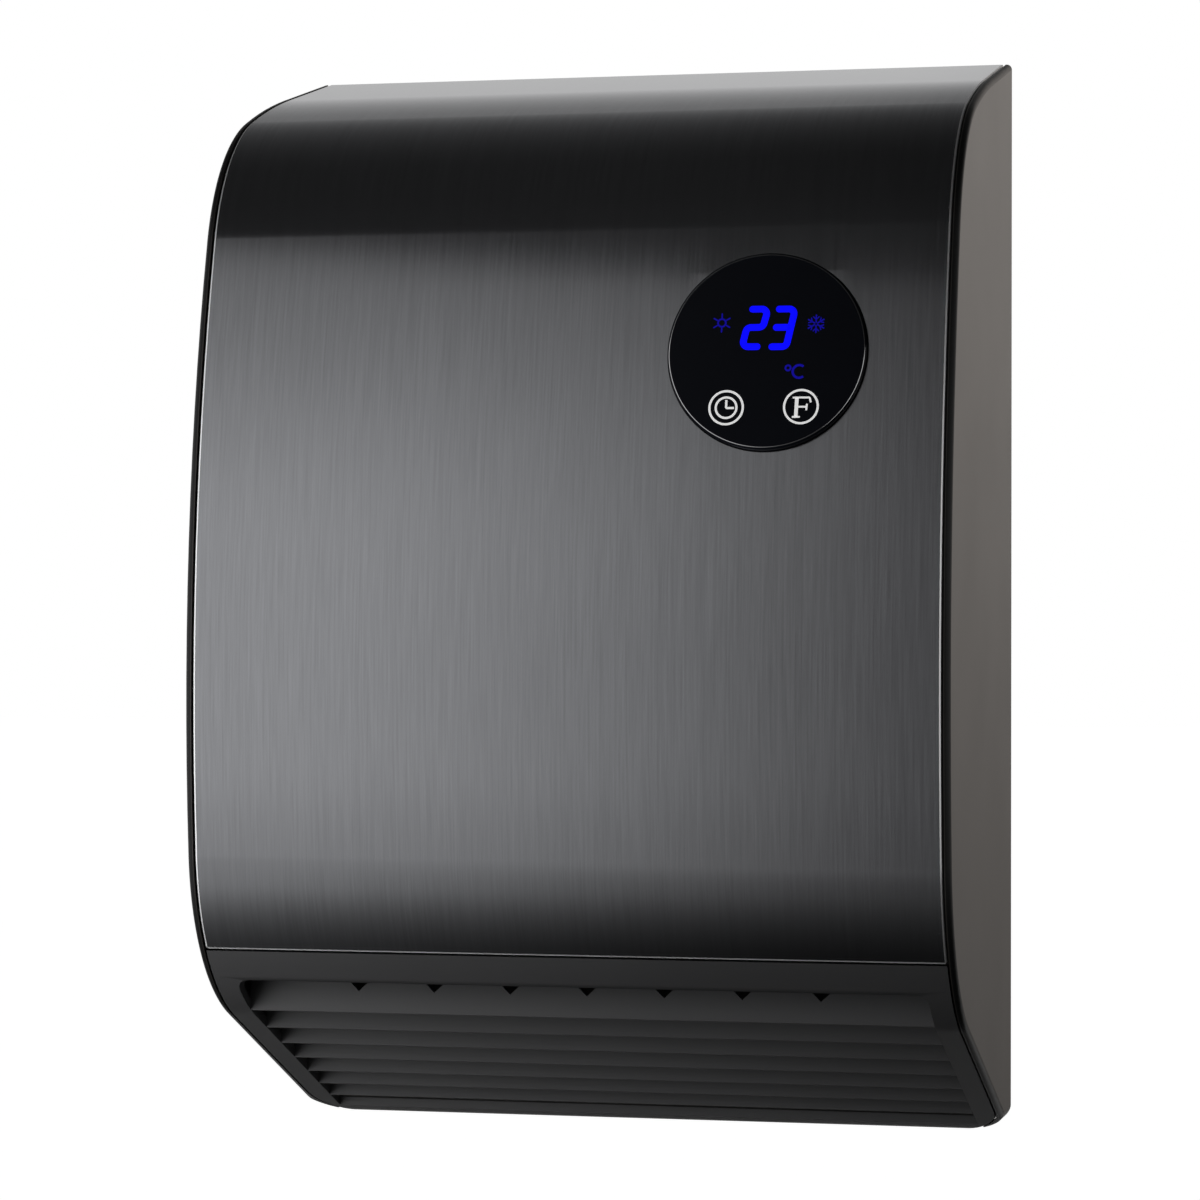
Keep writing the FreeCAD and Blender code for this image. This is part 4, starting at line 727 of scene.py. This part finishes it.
def disc_frame(shape):
    """Matrix from the disc's own frame, with Z out of the front, to the heater's, and the disc's radius."""
    low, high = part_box("display_lens")
    middle = (low + high) / 2
    radius = (high.x - low.x) / 2
    lean = 0.0
    for _ in range(LEAN_ROUNDS):
        lean = math.asin((high.y - low.y - shape.disc_thickness * math.cos(lean)) / (2 * radius))
    up = Vector((0.0, math.sin(lean), math.cos(lean)))
    out = ACROSS.cross(up)
    centre = middle - out * (shape.disc_proud - shape.disc_thickness / 2)
    columns = Matrix((ACROSS, up, out)).transposed()
    return Matrix.Translation(centre) @ columns.to_4x4(), radius


# Pieces

class HEATER_OT_front_plate(bpy.types.Operator):
    """Draws the brushed sheet along the side profile and cuts the hole for the disc"""

    bl_idname = "heater.front_plate"
    bl_label = "Front plate"

    hole_reach = 10 * MM
    end_band = 2 * MM
    facing_sideways = 0.2

    def execute(self, context):
        shape = context.scene.heater_shape
        low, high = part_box("front_plate")
        moves = profile_moves(shape, chin_turn_to(shape, low.z))
        bm = profile_sheet(shape, low.x, high.x, shape.columns, moves)
        bm.faces.ensure_lookup_table()
        if bm.faces[0].normal.z < 0:
            bmesh.ops.reverse_faces(bm, faces=bm.faces)
        bmesh.ops.solidify(bm, geom=bm.faces[:], thickness=shape.plate)
        bmesh.ops.recalc_face_normals(bm, faces=bm.faces)
        place, radius = disc_frame(shape)
        hole = drum(radius + shape.disc_gap, -self.hole_reach, self.hole_reach)
        bmesh.ops.transform(hole, matrix=place, verts=hole.verts)
        bm = cut_by(bm, hole)
        sliced(bm, Vector(), TO_WALL)
        outline = [edge for edge in sharp_edges(bm) if self.on_outline(edge, low, high)]
        for face in bevelled(bm, outline, shape.plate_edge, clamp=False):
            face.material_index = 1
        materials = [finish_for("dark_plate"), finish_for("cut_edge")]
        piece("front_plate_sheet", bm, materials, replaced=("front_plate",), sharp=FACET)
        return {"FINISHED"}

    def on_outline(self, edge, low, high):
        """Whether an edge is the front one of the sheet's two sides or of its lower end."""
        inside = (LOWEST + HIGHEST) / 2
        at_side = all(abs(vert.co.x) > high.x - WELD for vert in edge.verts)
        at_end = all(vert.co.z < low.z + self.end_band for vert in edge.verts)
        fronts = [
            face for face in edge.link_faces
            if abs(face.normal.x) < self.facing_sideways
            and face.normal.dot(face.calc_center_median() - inside) > 0
        ]
        return (at_side or at_end) and bool(fronts)


class HEATER_OT_cheeks(bpy.types.Operator):
    """Draws the side cheeks along the whole profile, with a curled lower corner"""

    bl_idname = "heater.cheeks"
    bl_label = "Cheeks"

    rim_segments = 6
    # Cutters reach past the case, and one that cuts another reaches further.
    cutter_reach = 20 * MM
    cutter_extra = 5 * MM
    far = LOWEST.y - cutter_reach
    near = HIGHEST.y + cutter_reach

    def execute(self, context):
        shape = context.scene.heater_shape
        for node, side in (("side_cheek_right", 1.0), ("side_cheek_left", -1.0)):
            bm = self.shell(shape)
            if side < 0:
                mirrored(bm)
            bmesh.ops.recalc_face_normals(bm, faces=bm.faces)
            bevelled(bm, sharp_edges(bm), shape.grille_edge)
            self.add_tabs(bm, node, side, shape)
            # The second finish is the painted shade of the rim
            materials = [finish_for("case_plastic"), finish_for("case_rim_painted_shade")]
            piece(node + "_panel", bm, materials, replaced=(node,))
        return {"FINISHED"}

    def shell(self, shape):
        """Right cheek: a slice of the profile, hollow behind, with a rounded lower corner."""
        outer = HIGHEST.x
        moves = profile_moves(shape, shape.sole_slope - shape.front_end)
        moves += [(shape.sole, 0.0), (shape.heel, shape.heel_end - shape.sole_slope), (shape.heel_flat, 0.0)]
        bm = profile_sheet(shape, outer - shape.corner_across / 2, outer, 1, moves)
        at_wall = [vert for vert in bm.verts if vert.co.y > HIGHEST.y - shape.heel_flat / 2]
        bmesh.ops.contextual_create(bm, geom=at_wall)
        bmesh.ops.holes_fill(bm, edges=[edge for edge in bm.edges if edge.is_boundary])
        bmesh.ops.recalc_face_normals(bm, faces=bm.faces)
        rim = [
            edge for edge in bm.edges
            if all(vert.co.x > outer - WELD for vert in edge.verts)
            and not all(vert in at_wall for vert in edge.verts)
        ]
        # The rim's faces get the darker copy of the case finish, which is painted shade
        for face in bevelled(bm, rim, shape.cheek_edge, self.rim_segments, False):
            face.material_index = 1
        bm = cut_by(bm, self.outside_corner(shape))
        x, z = self.corner_middle(shape)
        inner = shape.corner_across - shape.cheek
        bars = (
            (inner, self.far, HIGHEST.y - shape.corner_stop),
            (inner - shape.corner_fill, self.far - self.cutter_extra, self.near),
        )
        for half_x, far, near in bars:
            bm = cut_by(bm, oval_bar(x, z, half_x, shape.corner_up, far, near))
        return cut_by(bm, block((x, self.far, z), (x + inner, self.near, HIGHEST.z + self.cutter_reach)))

    def corner_middle(self, shape):
        """Middle of the oval at the right lower corner, across and up."""
        return HIGHEST.x - shape.corner_across, LOWEST.z + shape.corner_up

    def outside_corner(self, shape, inset_x=0.0, inset_z=0.0):
        """Cutter for all that lies outside the right lower corner's oval."""
        x, z = self.corner_middle(shape)
        low = (x, self.far, LOWEST.z - self.cutter_reach)
        stock = block(low, (HIGHEST.x + self.cutter_reach, self.near, z))
        half_x, half_z = shape.corner_across - inset_x, shape.corner_up - inset_z
        far, near = self.far - self.cutter_extra, self.near + self.cutter_extra
        return cut_by(stock, oval_bar(x, z, half_x, half_z, far, near))

    def add_tabs(self, bm, node, side, shape):
        """Adds the frame's lip and screw tabs behind the shell."""
        tabs = merged_copy(node)
        sliced(tabs, ACROSS * side * (HIGHEST.x - shape.cheek - shape.tab_gap), ACROSS * side)
        corner = self.outside_corner(shape, shape.cheek + shape.tab_gap, shape.tab_gap)
        if side < 0:
            mirrored(corner)
        tabs = cut_by(tabs, corner)
        mesh = bpy.data.meshes.new("tabs")
        tabs.to_mesh(mesh)
        tabs.free()
        bm.from_mesh(mesh)
        bpy.data.meshes.remove(mesh)


class HEATER_OT_mouldings(bpy.types.Operator):
    """Dresses the outlet grille, the back and the carrier with rounded edges"""

    bl_idname = "heater.mouldings"
    bl_label = "Mouldings"

    foot_band = 12 * MM
    facing_down = -0.7

    def execute(self, context):
        shape = context.scene.heater_shape
        dressed = {
            "outlet_grille": ("grille_plastic", shape.grille_edge),
            "back_panel": ("case_plastic", shape.moulding_edge),
            "intake_grille": ("case_plastic", shape.moulding_edge),
            "wall_bracket": ("zinc_steel", shape.sheet_edge),
            "front_carrier": ("inner_plastic", shape.sheet_edge),
            "cable_grommet": ("rubber", shape.moulding_edge),
        }
        for node, (slot, width) in dressed.items():
            bm = merged_copy(node)
            if node == "back_panel":
                self.add_lip(bm, shape)
            bevelled(bm, sharp_edges(bm), width)
            piece(node + "_moulding", bm, [finish_for(slot)], replaced=(node,))
        return {"FINISHED"}

    def add_lip(self, bm, shape):
        """Draws the back panel's foot down to the outlet grille's heel, so that no light shows between."""
        below = [
            face for face in bm.faces
            if face.normal.z < self.facing_down and face.calc_center_median().z < LOWEST.z + self.foot_band
        ]
        foot = max(below, key=lambda face: face.calc_area())
        made = bmesh.ops.extrude_face_region(bm, geom=[foot])["geom"]
        bmesh.ops.translate(bm, verts=only_verts(made), vec=(0.0, shape.lip_out, -shape.lip_down))
        bmesh.ops.recalc_face_normals(bm, faces=bm.faces)


class HEATER_OT_disc(bpy.types.Operator):
    """Turns the glossy disc"""

    bl_idname = "heater.disc"
    bl_label = "Disc"

    segments = 160

    def execute(self, context):
        shape = context.scene.heater_shape
        place, radius = disc_frame(shape)
        bm = drum(radius, shape.disc_proud - shape.disc_thickness, shape.disc_proud, self.segments)
        bevelled(bm, self.top_rim(bm, shape), shape.disc_chamfer, 1)
        # The thin glint band gets a bright metal finish, which is a painted highlight on the disc's edge
        for face in bevelled(bm, self.top_rim(bm, shape), shape.disc_glint, 1):
            face.material_index = 1
        bmesh.ops.transform(bm, matrix=place, verts=bm.verts)
        materials = [finish_for("lens"), finish_for("disc_painted_glint")]
        piece("display_disc", bm, materials, replaced=("display_lens",))
        return {"FINISHED"}

    def top_rim(self, bm, shape):
        """Edge round the disc's front face."""
        return [edge for edge in bm.edges if all(vert.co.z > shape.disc_proud - WELD for vert in edge.verts)]


# Marks on the disc, with places in millimetres to the right and up from its centre

DIGITS = (
    ((-4.5, 12.5), (0.1, 12.5), (-1.3, 7.0), (-6.0, 7.0), (-7.3, 1.2), (-2.8, 1.2)),
    ((3.4, 12.4), (8.1, 12.4), (5.8, 1.1), (1.6, 1.1)),
    ((2.7, 6.9), (5.9, 6.9)),
)
DIGIT_BEND = 0.75
SUN = Vector((-13.5, 8.5))
SUN_RAY = (1.6, 2.7)
SNOW = Vector((14.4, 7.8))
SNOW_ARM = (0.5, 2.6)
SNOW_BARB = (2.1, 0.8)
SNOW_FORK = 1.3
ARMS = 6
SIGN_STROKE = 0.42 * MM
BARB_STROKE = 0.8 * SIGN_STROKE
# Place of a ring, then its radius, its stroke and, where it is open, its start and sweep
SIGN_RINGS = (
    (SUN, (1.15 * MM, 0.5 * MM)),
    ((6.6, -5.3), (0.75 * MM, 0.55 * MM)),
    ((9.9, -6.4), (1.9 * MM, 0.7 * MM, math.radians(50), math.radians(260))),
)
CLOCK = Vector((-11.25, -17.0))
CLOCK_FACE = 0.62
CLOCK_HANDS = ((0.0, 2.3), (0.0, -0.1), (2.35, -0.1))
LETTER = Vector((10.8, -16.9))
LETTER_STEM = ((-1.25, 2.5), (-1.4, -2.9))
LETTER_TOP = ((-2.5, 2.7), (2.5, 2.7), (2.85, 1.2))
LETTER_BARS = (
    ((-0.8, -0.05), (1.5, -0.05)),
    ((1.75, 0.8), (1.6, -1.1)),
    ((-2.55, -3.05), (-0.2, -3.05)),
)
STEM_STROKE = 1.05 * MM
SERIF_STROKE = 0.55 * MM
SERIF_BEND = 0.3 * MM
BEND_STEP = math.radians(12)
CAP_STEPS = 10
RING_STEPS = 48
FULL_TURN = 2 * math.pi


def stroke(bm, points, width, bend=0.0, round_ends=True):
    """Flat line of even width through places on the disc, with bent corners."""
    points = [Vector((u, v, 0.0)) * MM for u, v in points]
    runs = [end - start for start, end in zip(points, points[1:])]
    moves = []
    used = 0.0
    for run, following in zip(runs, runs[1:]):
        turn = math.atan2(run.cross(following).z, run.dot(following))
        trim = bend * math.tan(abs(turn) / 2)
        moves += [(run.length - used - trim, 0.0), (bend, turn)]
        used = trim
    moves.append((runs[-1].length - used, 0.0))
    forward = runs[0].normalized()
    left = OUTWARD.cross(forward) * width / 2
    first = [bm.verts.new(points[0] + offset) for offset in (left, Vector(), -left)]
    halves = [bm.edges.new(first[:2]), bm.edges.new(first[1:])]
    end, forward = swept(bm, halves, points[0], forward, OUTWARD, moves, BEND_STEP)
    if round_ends:
        left_at_end = OUTWARD.cross(forward) * width / 2
        for middle, offset, turn in ((points[0], -left, -math.pi), (end, -left_at_end, math.pi)):
            cap = bm.edges.new([bm.verts.new(middle), bm.verts.new(middle + offset)])
            bmesh.ops.spin(bm, geom=[cap], cent=middle, axis=OUTWARD, angle=turn, steps=CAP_STEPS)


def ring(bm, place, radius, width, start=0.0, sweep=FULL_TURN):
    """Flat ring or part of one about a place on the disc."""
    centre = Vector((*place, 0.0)) * MM
    arm = Vector((math.cos(start), math.sin(start), 0.0))
    edge = bm.edges.new([bm.verts.new(centre + arm * (radius + side * width / 2)) for side in (-1, 1)])
    bmesh.ops.spin(
        bm, geom=[edge], cent=centre, axis=OUTWARD, angle=sweep, steps=RING_STEPS,
        use_merge=sweep >= FULL_TURN)


def about(place, points):
    """Points moved to a place on the disc."""
    return [place + Vector(point) for point in points]


class HEATER_OT_marks(bpy.types.Operator):
    """Draws the lit digits, the dim signs and the two touch marks on the disc"""

    bl_idname = "heater.marks"
    bl_label = "Marks"

    def execute(self, context):
        shape = context.scene.heater_shape
        self.place(self.digits(shape), "disc_digits", "digits", shape)
        self.place(self.signs(), "disc_signs", "icons", shape)
        self.place(self.touch_marks(shape), "disc_touch_marks", "marks", shape)
        return {"FINISHED"}

    def place(self, bm, name, finish, shape):
        """Thickens flat marks and sets them on the disc's front."""
        bmesh.ops.remove_doubles(bm, verts=bm.verts, dist=WELD)
        made = bmesh.ops.extrude_face_region(bm, geom=bm.faces[:], use_keep_orig=True)["geom"]
        bmesh.ops.translate(bm, verts=only_verts(made), vec=OUTWARD * shape.mark_height)
        bmesh.ops.recalc_face_normals(bm, faces=bm.faces)
        matrix, _ = disc_frame(shape)
        front = matrix @ Matrix.Translation(OUTWARD * shape.disc_proud)
        bmesh.ops.transform(bm, matrix=front, verts=bm.verts)
        piece(name, bm, [finish_for(finish)])

    def digits(self, shape):
        """Two digits with rounded strokes."""
        bm = bmesh.new()
        for points in DIGITS:
            stroke(bm, points, shape.digit_stroke, DIGIT_BEND * shape.digit_stroke)
        return bm

    def signs(self):
        """Sun, snowflake and degree sign."""
        bm = bmesh.new()
        barb_out, barb_side = SNOW_BARB
        for arm in range(ARMS):
            angle = math.pi / 2 + FULL_TURN * arm / ARMS
            out = Vector((math.cos(angle), math.sin(angle)))
            side = Vector((-out.y, out.x)) * barb_side
            stroke(bm, [SUN + out * reach for reach in SUN_RAY], SIGN_STROKE)
            stroke(bm, [SNOW + out * reach for reach in SNOW_ARM], SIGN_STROKE)
            barbs = (out * barb_out + side, out * SNOW_FORK, out * barb_out - side)
            stroke(bm, about(SNOW, barbs), BARB_STROKE)
        for place, ring_sizes in SIGN_RINGS:
            ring(bm, place, *ring_sizes)
        return bm

    def touch_marks(self, shape):
        """Clock and letter, each in a ring."""
        bm = bmesh.new()
        width = shape.ring_stroke
        ring(bm, CLOCK, shape.ring_radius, width)
        ring(bm, CLOCK, shape.ring_radius * CLOCK_FACE, width)
        stroke(bm, about(CLOCK, CLOCK_HANDS), width, 0.5 * width, False)
        ring(bm, LETTER, shape.ring_radius, width)
        stroke(bm, about(LETTER, LETTER_STEM), STEM_STROKE, round_ends=False)
        stroke(bm, about(LETTER, LETTER_TOP), SERIF_STROKE, SERIF_BEND, False)
        for points in LETTER_BARS:
            stroke(bm, about(LETTER, points), SERIF_STROKE, round_ends=False)
        return bm


class HEATER_OT_screws(bpy.types.Operator):
    """Cuts a cross into the heads of the screws at the back"""

    bl_idname = "heater.screws"
    bl_label = "Screws"

    head_cell = 20 * MM

    def execute(self, context):
        shape = context.scene.heater_shape
        for node in ("case_screws", "cheek_screws"):
            bm = merged_copy(node)
            centres = self.head_centres(bm)
            for length, height in (
                (shape.cross_length, shape.cross_width),
                (shape.cross_width, shape.cross_length),
            ):
                bars = bmesh.new()
                size = Matrix.Diagonal((length, 2 * shape.cross_depth, height, 1.0))
                for centre in centres:
                    bmesh.ops.create_cube(bars, size=1.0, matrix=Matrix.Translation(centre) @ size)
                bm = cut_by(bm, bars)
            bevelled(bm, sharp_edges(bm), shape.grille_edge)
            piece(node + "_crossed", bm, [finish_for("zinc_steel")], replaced=(node,))
        return {"FINISHED"}

    def head_centres(self, bm):
        """Middles of the screws' faces nearest the wall, told apart by the cell that they lie in."""
        high = max(vert.co.y for vert in bm.verts)
        heads = {}
        for vert in bm.verts:
            if vert.co.y > high - WELD:
                cell = (round(vert.co.x / self.head_cell), round(vert.co.z / self.head_cell))
                heads.setdefault(cell, []).append(vert.co.copy())
        return [sum(places, Vector()) / len(places) for places in heads.values()]


class HEATER_OT_inside(bpy.types.Operator):
    """Gives every node of the frame its finish"""

    bl_idname = "heater.inside"
    bl_label = "Inside"

    def execute(self, context):
        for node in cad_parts.values():
            slot = node.data.materials[0].name
            node.data.materials[0] = finish_for(slot)
        return {"FINISHED"}


# Stage

WHITE = (1.0, 1.0, 1.0, 1.0)
WARM = (1.0, 0.93, 0.87, 1.0)
SENSOR_WIDTH = 36.0


class HEATER_OT_stage(bpy.types.Operator):
    """Sets the floor, the light and the camera"""

    bl_idname = "heater.stage"
    bl_label = "Stage"

    def execute(self, context):
        scene = context.scene
        studio = scene.heater_studio
        scene.view_settings.view_transform = "Standard"
        self.sky(scene, studio)
        self.floor(scene, studio)
        self.flags(scene)
        self.key(scene, studio)
        self.camera(scene, studio)
        return {"FINISHED"}

    def seen(self, tree):
        """1 on rays from the camera, from gloss and through glass."""
        path = add(tree, "ShaderNodeLightPath")
        first = math_node(tree, "MAXIMUM", path.outputs["Is Camera Ray"], path.outputs["Is Glossy Ray"])
        return math_node(tree, "MAXIMUM", first, path.outputs["Is Transmission Ray"])

    def sky(self, scene, studio):
        """White background over an even ambient light."""
        world = bpy.data.worlds.new("studio_sky")
        world.use_nodes = True
        tree = world.node_tree
        tree.nodes.clear()
        mix = add(tree, "ShaderNodeMixShader")
        output = add(tree, "ShaderNodeOutputWorld")
        tree.links.new(self.seen(tree), mix.inputs[0])
        for strength, slot in ((studio.ambient, mix.inputs[1]), (1.0, mix.inputs[2])):
            light = fill(add(tree, "ShaderNodeBackground"), Color=WHITE, Strength=strength)
            tree.links.new(light.outputs[0], slot)
        tree.links.new(mix.outputs[0], output.inputs["Surface"])
        scene.world = world

    def card(self, scene, name, size, matrix, material):
        """Flat stage card."""
        bm = bmesh.new()
        bmesh.ops.create_grid(bm, x_segments=1, y_segments=1, size=0.5)
        bmesh.ops.scale(bm, vec=(*size, 1.0), verts=bm.verts)
        bmesh.ops.transform(bm, matrix=matrix, verts=bm.verts)
        mesh = bpy.data.meshes.new(name)
        bm.to_mesh(mesh)
        bm.free()
        mesh.materials.append(material)
        made = bpy.data.objects.new(name, mesh)
        scene.collection.objects.link(made)
        return made

    def floor(self, scene, studio):
        """Pale floor that shows white."""
        made, tree, output = bare_material("pale_floor")
        paint = fill(add(tree, "ShaderNodeBsdfDiffuse"), Color=(*studio.floor_paint, 1.0))
        shine = add(tree, "ShaderNodeEmission")
        glow = math_node(tree, "MULTIPLY", self.seen(tree), studio.floor_glow)
        tree.links.new(glow, shine.inputs["Strength"])
        both = add(tree, "ShaderNodeAddShader")
        tree.links.new(paint.outputs[0], both.inputs[0])
        tree.links.new(shine.outputs[0], both.inputs[1])
        tree.links.new(both.outputs[0], output)
        place = Matrix.Translation((0, 0, LOWEST.z - studio.floor_drop))
        self.card(scene, "floor", (studio.floor_size, studio.floor_size), place, made)

    def shaded(self, name, tint, changes):
        """Card material that glows by the product of smooth changes: axis, from, to, first, last."""
        made, tree, output = bare_material(name)
        place = add(tree, "ShaderNodeSeparateXYZ")
        tree.links.new(add(tree, "ShaderNodeTexCoord").outputs["Object"], place.inputs["Vector"])
        level = 1.0
        for axis, start, end, first, last in changes:
            change = add(tree, "ShaderNodeMapRange", interpolation_type="SMOOTHSTEP")
            fill(change, From_Min=start, From_Max=end, To_Min=first, To_Max=last)
            tree.links.new(place.outputs[axis], change.inputs["Value"])
            level = math_node(tree, "MULTIPLY", change.outputs["Result"], level)
        glow = fill(add(tree, "ShaderNodeEmission"), Color=tint)
        tree.links.new(level, glow.inputs["Strength"])
        tree.links.new(glow.outputs[0], output)
        return made

    def flags(self, scene):
        """Shaded cards that only gloss sees: over the heater, below it, in front of it and behind it."""
        upright = Matrix.Rotation(math.radians(90), 4, "X")
        slanted = Matrix.Rotation(math.radians(-20), 4, "Z")
        # Size, middle, turn and tint of a card, then the changes of its glow, in metres
        cards = {
            "flag_above": (
                (3.4, 3.35), (0.38, 0.48, HIGHEST.z + 0.55), slanted, WHITE,
                ("Y", -0.2, 2.3, 0.034, 0.75), ("Y", 0.9, 1.6, 1.0, 1.15), ("X", -0.15, 0.08, 1.0, 0.6)),
            "flag_below": (
                (2.6, 1.5), (0.0, -0.45, LOWEST.z - 0.2), Matrix.Identity(4), WHITE,
                ("Y", -0.62, -0.17, 0.5, 0.085), ("X", -0.42, 0.06, 1.3, 0.15)),
            "flag_front": (
                (1.38, 2.0), (-0.21, -1.2, 0.0), upright, WHITE,
                ("X", -0.45, 0.03, 0.94, 0.05), ("Z", -0.55, -0.25, 0.6, 1.0), ("Z", 0.1, 0.75, 1.0, 0.5)),
            "flag_behind": (
                (1.5, 1.8), (0.87, 1.0, -0.3), upright, WARM,
                ("Z", -0.5, 0.35, 0.245, 0.98)),
        }
        for name, (size, middle, turn, tint, *changes) in cards.items():
            material = self.shaded(name, tint, changes)
            card = self.card(scene, name, size, Matrix.Translation(middle) @ turn, material)
            card.visible_camera = False
            card.visible_diffuse = False
            card.visible_shadow = False
            card.visible_transmission = False

    def key(self, scene, studio):
        """Soft lamp near the front left, which neither the camera nor gloss sees."""
        lamp = bpy.data.lights.new("key_softbox", "AREA")
        lamp.shape = "SQUARE"
        lamp.size = studio.key_size
        lamp.energy = studio.key_power
        made = bpy.data.objects.new("key_softbox", lamp)
        scene.collection.objects.link(made)
        place = Vector(studio.key_place)
        aim = Vector(studio.key_aim) - place
        made.matrix_world = Matrix.Translation(place) @ aim.to_track_quat("-Z", "Y").to_matrix().to_4x4()
        made.visible_glossy = False
        made.visible_camera = False

    def camera(self, scene, studio):
        """Camera at the photographed angle."""
        yaw = studio.camera_yaw
        pitch = studio.camera_pitch
        roll = studio.camera_roll
        forward = Vector((
            -math.sin(yaw) * math.cos(pitch),
            math.cos(yaw) * math.cos(pitch),
            math.sin(pitch),
        ))
        right = Vector((math.cos(yaw), math.sin(yaw), 0.0))
        up = right.cross(forward)
        rolled_right = right * math.cos(roll) + up * math.sin(roll)
        rolled_up = up * math.cos(roll) - right * math.sin(roll)
        data = bpy.data.cameras.new("camera")
        data.sensor_width = SENSOR_WIDTH
        data.lens = studio.lens
        made = bpy.data.objects.new("camera", data)
        scene.collection.objects.link(made)
        columns = Matrix((rolled_right, rolled_up, -forward)).transposed()
        made.matrix_world = Matrix.Translation(studio.camera_place) @ columns.to_4x4()
        scene.camera = made


OPERATORS = (
    HEATER_OT_front_plate,
    HEATER_OT_cheeks,
    HEATER_OT_mouldings,
    HEATER_OT_disc,
    HEATER_OT_marks,
    HEATER_OT_screws,
    HEATER_OT_inside,
    HEATER_OT_stage,
)


class HEATER_PT_panel(bpy.types.Panel):
    """Steps that dress the heater, in order"""

    bl_idname = "HEATER_PT_panel"
    bl_label = "Wall Heater"
    bl_space_type = "VIEW_3D"
    bl_region_type = "UI"
    bl_category = "Wall Heater"

    def draw(self, context):
        for operator in OPERATORS:
            self.layout.operator(operator.bl_idname)


GROUPS = {"heater_shape": HeaterShape, "heater_finish": HeaterFinish, "heater_studio": HeaterStudio}
CLASSES = (*GROUPS.values(), *OPERATORS, HEATER_PT_panel)


def register():
    """Adds the classes and their settings."""
    for made in CLASSES:
        bpy.utils.register_class(made)
    for name, made in GROUPS.items():
        setattr(bpy.types.Scene, name, PointerProperty(type=made))


def unregister():
    """Takes the classes and their settings away."""
    for name in GROUPS:
        delattr(bpy.types.Scene, name)
    for made in reversed(CLASSES):
        bpy.utils.unregister_class(made)


def main():
    """Dresses the heater."""
    register()
    bpy.ops.heater.front_plate()
    bpy.ops.heater.cheeks()
    bpy.ops.heater.mouldings()
    bpy.ops.heater.disc()
    bpy.ops.heater.marks()
    bpy.ops.heater.screws()
    bpy.ops.heater.inside()
    bpy.ops.heater.stage()


if __name__ == "__main__":
    main()
